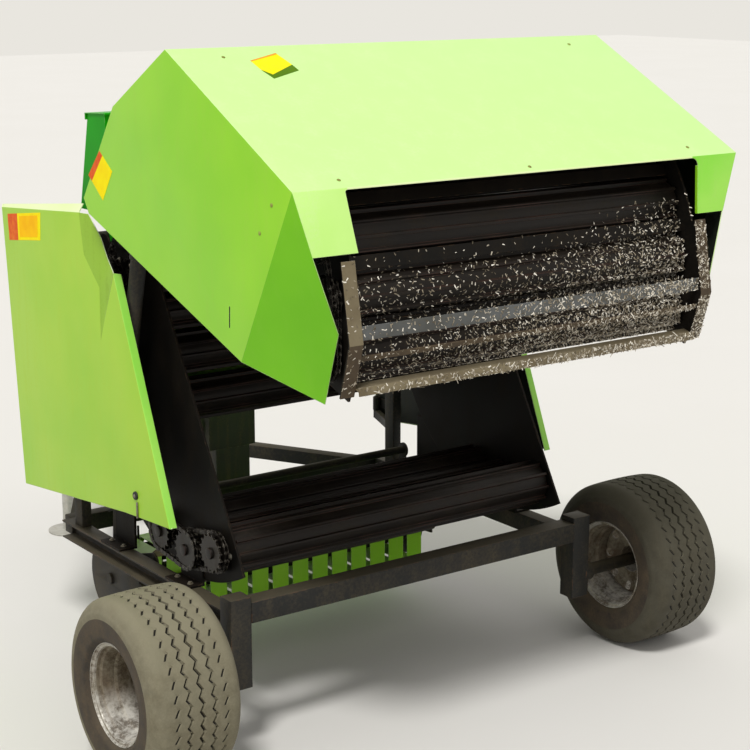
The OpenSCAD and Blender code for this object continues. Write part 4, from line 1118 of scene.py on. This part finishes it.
# Dark bars close the gaps between the rear rollers from outside: painted shade, bars shaped as scrapers so the
# gaps read dark
gapShade = {"radius": 634, "half": 22, "thick": 3, "gaps": (6, 7, 8, 9)}
gapShadeBars = []
for gap in gapShade["gaps"]:
    deg = split + gap * step
    turn = math.radians(deg)
    along = Vector((0, -math.sin(turn), math.cos(turn))) * gapShade["half"]
    ring = [aroundChamber(deg, gapShade["radius"] + out) + along * way
            for out, way in ((0, -1), (0, 1), (gapShade["thick"], 1), (gapShade["thick"], -1))]
    bar = slab(f"scraper_{gap}", [onTailgate(-machine["chamberHalf"], p.y, p.z) for p in ring],
               right * 2 * machine["chamberHalf"] / 1000, chamberBlack)
    fit(bar, "tailgate", "black_paint")
    gapShadeBars.append(bar)
print("scrapers fitted")

# Straw and chaff caught on the rear of the gate: thickest low and to the right
chaff = {
    "nodes": ("tail_rollers", "tail_rail", "tail_plate_left", "tail_plate_right"), "to": 240, "spread": 34,
    "base": 202, "slice": 100, "slices": 7, "size": (0.4, 0.95), "seed": 7, "tilt": 0.35, "thick": 0.5,
    "facing": 0.15, "slope": (1.15, 0.85, -0.72, 1.1, 1.5), "film": (0.12, 3), "inBox": 0.001,
    "smoothDeg": 60,
}
strands = {  # each strand as [along, up, half width], strands to the square metre, first angle, inner radius
    "chaff_flakes": ([(-6.5, 0, 2.5), (7, 1.2, 1.4)], 34000, 196, 560),
    "straw_stems": ([(-22, 0, 1.4), (3, 2.2, 1.6), (24, 0.5, 1.1)], 700, 222, 655),
}


def strandModel(stations):  # a closed bent strip
    rings = [[Vector(p) / 1000 for p in ((x, -w, z), (x, w, z), (x, w, z + chaff["thick"]),
                                         (x, -w, z + chaff["thick"]))] for x, z, w in stations]
    return tube("strand", rings, chaffStraw)


def chaffTree():
    tree, given = newTree("chaffOnFaces", Bed="Geometry", Flake="Object", Finish="Material", Seed="Int")
    points = addNode(tree, "GeometryNodeDistributePointsOnFaces", {
        "Mesh": given["Bed"], "Density": attribute(tree, "thickness", "FLOAT"), "Seed": given["Seed"]})
    tilt = chaff["tilt"]
    spin = addNode(tree, "FunctionNodeRandomValue", {0: (-tilt, -tilt, 0), 1: (tilt, tilt, 2 * math.pi)},
                   data_type="FLOAT_VECTOR")
    asTurn = addNode(tree, "FunctionNodeEulerToRotation", {"Euler": spin})
    turned = addNode(tree, "FunctionNodeRotateRotation", {
        "Rotation": points.outputs["Rotation"], "Rotate By": asTurn}, rotation_space="LOCAL")
    smallest, largest = chaff["size"]
    scale = addNode(tree, "FunctionNodeRandomValue", {2: smallest, 3: largest}, data_type="FLOAT")
    flake = addNode(tree, "GeometryNodeObjectInfo", {"Object": given["Flake"]})
    laid = addNode(tree, "GeometryNodeInstanceOnPoints", {
        "Points": points, "Instance": flake.outputs["Geometry"], "Rotation": turned, "Scale": scale})
    return finishTree(tree, given, laid)


def shutPolar(point):  # radius and angle round the chamber centre with the gate shut, in mm and degrees
    p = (lifting.inverted() @ point) * 1000
    y, z = p.y - machine["shiftY"] - machine["chamberY"], p.z - machine["chamberZ"]
    return math.hypot(y, z), math.degrees(math.atan2(z, y)) % 360


def clamped(value):
    return min(max(value, 0), 1)


def chaffBed(name, perArea, first, inner):
    shape = bmesh.new()
    for mesh in [frame["nodes"][node].data for node in chaff["nodes"]] + [bar.data for bar in gapShadeBars]:
        shape.from_mesh(mesh)
    back = lifting.inverted().to_3x3()
    dropped = []
    for face in shape.faces:
        radius, angle = shutPolar(face.calc_center_median())
        outward = (back @ face.normal).dot(Vector((0, *polar(1, math.radians(angle)))))
        if outward < chaff["facing"] or radius < inner or not first < angle < chaff["to"]:
            dropped.append(face)
    bmesh.ops.delete(shape, geom=dropped, context="FACES")
    for k in range(-chaff["slices"], chaff["slices"] + 1):
        bmesh.ops.bisect_plane(shape, geom=shape.verts[:] + shape.edges[:] + shape.faces[:],
                               plane_co=right * k * chaff["slice"] / 1000, plane_no=right)
    bed = newPiece(name, [], [], [])
    shape.to_mesh(bed.data)
    shape.free()
    byRight, byDown, start, full, power = chaff["slope"]
    film, filmDown = chaff["film"]
    layer = bed.data.attributes.new("thickness", "FLOAT", "POINT")
    for item, vertex in zip(layer.data, bed.data.vertices):
        u = (vertex.co.x * 1000 + machine["chamberHalf"]) / (2 * machine["chamberHalf"])
        v = (shutPolar(vertex.co)[1] - chaff["base"]) / chaff["spread"]
        item.value = perArea * (clamped((byRight * u + byDown * v + start) / full) ** power
                                + film * clamped(filmDown * v))
    return bed


def withinBox(piece, size):  # strands that would stand out past the machine's rear are left off
    shape = bmesh.new()
    shape.from_mesh(piece.data)
    shape.verts.ensure_lookup_table()
    groups = [shape.verts[i:i + size] for i in range(0, len(shape.verts), size)]
    rear = cadBox[0][1] + chaff["inBox"]
    out = [v for strand in groups if min(v.co.y for v in strand) < rear for v in strand]
    bmesh.ops.delete(shape, geom=out, context="VERTS")
    shape.to_mesh(piece.data)
    shape.free()


scatter = chaffTree()
for name, (stations, *where) in strands.items():
    bed, model = chaffBed(name, *where), strandModel(stations)
    useTree(bed, scatter, Flake=model, Finish=chaffStraw, Seed=chaff["seed"])
    settle(bed, chaff["smoothDeg"])
    bpy.data.objects.remove(model)
    withinBox(bed, 4 * len(stations))
    fit(bed, "tailgate")
print("chaff scattered")

# Fittings: ram glands and pins, gearbox cone, jack grip, pivot nuts
fittings = {
    "ramX": 793, "ramFoot": (720, 920), "ramEye": (471, 1724), "barrelEnd": 760, "ports": (0.12, 0.9),
    "portOut": 26, "port": [(0, 0), (11, 0), (11, 14), (8, 16), (8, 24), (0, 24)],
    "gland": [(14.6, -34), (31, -34), (33, -31), (33, -6), (30, 0), (27, 3), (14.6, 3)],
    "pinOut": 22, "pin": (24, 10, 17), "pivotEnd": 735, "pivotNut": (32, 16, 22),
    "glandSteps": 40, "portSteps": 20, "coneSteps": 48, "gripSteps": 28,
    "coneAt": (0, 1530, 760), "cone": [(24, 0), (50, 0), (54, 5), (67, 86), (64, 86), (50, 9), (24, 4)],
    "gripAt": (-300, 2500, 868), "grip": [(12.2, 0), (15.5, 1.5), (16, 12), (15, 50), (16, 84), (15, 90),
                                          (0, 92), (0, 88), (12.2, 86)],
}
for side, name in sideNames:
    foot = place(side * fittings["ramX"], *fittings["ramFoot"])
    eye = onTailgate(side * fittings["ramX"], *fittings["ramEye"])
    along = (eye - foot).normalized()
    reach = along * fittings["barrelEnd"] / 1000
    behind = along.cross(right)
    parts = [turnedSolid("gland", foot + reach, along, fittings["gland"], chassisBlack,
                         fittings["glandSteps"])]
    parts += [turnedSolid("port", foot + reach * share + behind * fittings["portOut"] / 1000, behind,
                          fittings["port"], boltZinc, fittings["portSteps"]) for share in fittings["ports"]]
    fit(joined("ram_fittings_" + name, parts), "ram_barrel_" + name, "rim_paint")
    for piece, out, at, size in (
            ("ram_pin_", fittings["ramX"] + fittings["pinOut"], fittings["ramFoot"], fittings["pin"]),
            ("pivot_nut_", fittings["pivotEnd"], pivot[1:], fittings["pivotNut"])):
        setBolts(piece + name, [(place(side * out, *at), right * side, ahead)], size, "chassis")
for name, key, way in (("shaft_cone", "cone", ahead), ("jack_grip", "grip", upwards)):
    piece = turnedSolid(name, place(*fittings[key + "At"]), way, fittings[key], blackPlastic,
                        fittings[key + "Steps"])
    fit(piece, "chassis", "black_paint")
print("fittings set")

# CAD nodes whose shape is right keep it, with eased edges and a real finish
eased = (
    (chassisBlack, "black_paint", 3, "axle_beam wheel_legs front_cross drawbar_left drawbar_right"),
    (chassisBlack, "black_paint", 2, "frame_rails drawbar_head"),
    (chassisBlack, "black_paint", 1.5, "cross_shaft guard_posts pickup_frame"),
    (chassisBlack, "black_paint", 1, "jack_sleeve top_tube wind_guard"),
    (chassisBlack, "black_paint", 0, "pickup_reel"),
    (chamberBlack, "black_paint", 0, "tail_plate_left tail_plate_right side_plate_left side_plate_right"),
    (limePaint, "lime_paint", 0, "front_shield pickup_bands"),
    (greenPaint, "green_paint", 0, "twine_box"),
    (greenPaint, "green_paint", 1, "twine_lid"),
    (paleSteel, "bare_steel", 1.5, "jack_leg"),
    (scouredSteel, "bare_steel", 0, "feed_floor"),
    (castIron, "bare_steel", 6, "gearbox"),
    (slatSteel, "bare_steel", 1, "tail_rail"),
    (rollerSteel, "bare_steel", 1.5, "tail_rollers front_rollers"),
    (chainSteel, "bare_steel", 0, "tail_sprockets front_sprockets main_drive"),
    (chassisBlack, "rim_paint", 1, "barrel_left barrel_right"),
    (hardChrome, "rim_paint", 1, "rod_left rod_right"),
)
for finish, slot, edge, nodes in eased:
    for node in nodes.split():
        softened(node, finish, slot, edge)
print("machine parts eased")

# Straw scours the rear flanges; lower down, and on the right, they go darker and browner: sap dried on them,
# and painted shade where the flange turns from the light; the lowest rail keeps pale dust, the slat above it
# brown
toned = {"flange": 692, "flangeFrom": 203, "flangeTo": 239, "sapFrom": 224, "slatTo": 226, "railFrom": 233}


def flangeTone(centre):
    radius, angle = shutPolar(centre)
    if radius <= toned["flange"] or not toned["flangeFrom"] < angle < toned["flangeTo"]:
        return 0
    return 1 if angle < toned["sapFrom"] and centre.x < 0 else 2


def railTone(centre):
    angle = shutPolar(centre)[1]
    return 1 if angle > toned["railFrom"] else 2 if angle > toned["slatTo"] else 0


for node, rule in (("tail_plate_left", flangeTone), ("tail_plate_right", flangeTone), ("tail_rail", railTone)):
    piece = bpy.data.objects[node + "_eased"]
    piece.data.materials.append(scouredSteel)
    piece.data.materials.append(sapShadeBrown)
    tint(piece, [rule(face.center) for face in piece.data.polygons])
print("rear flanges and rail toned")
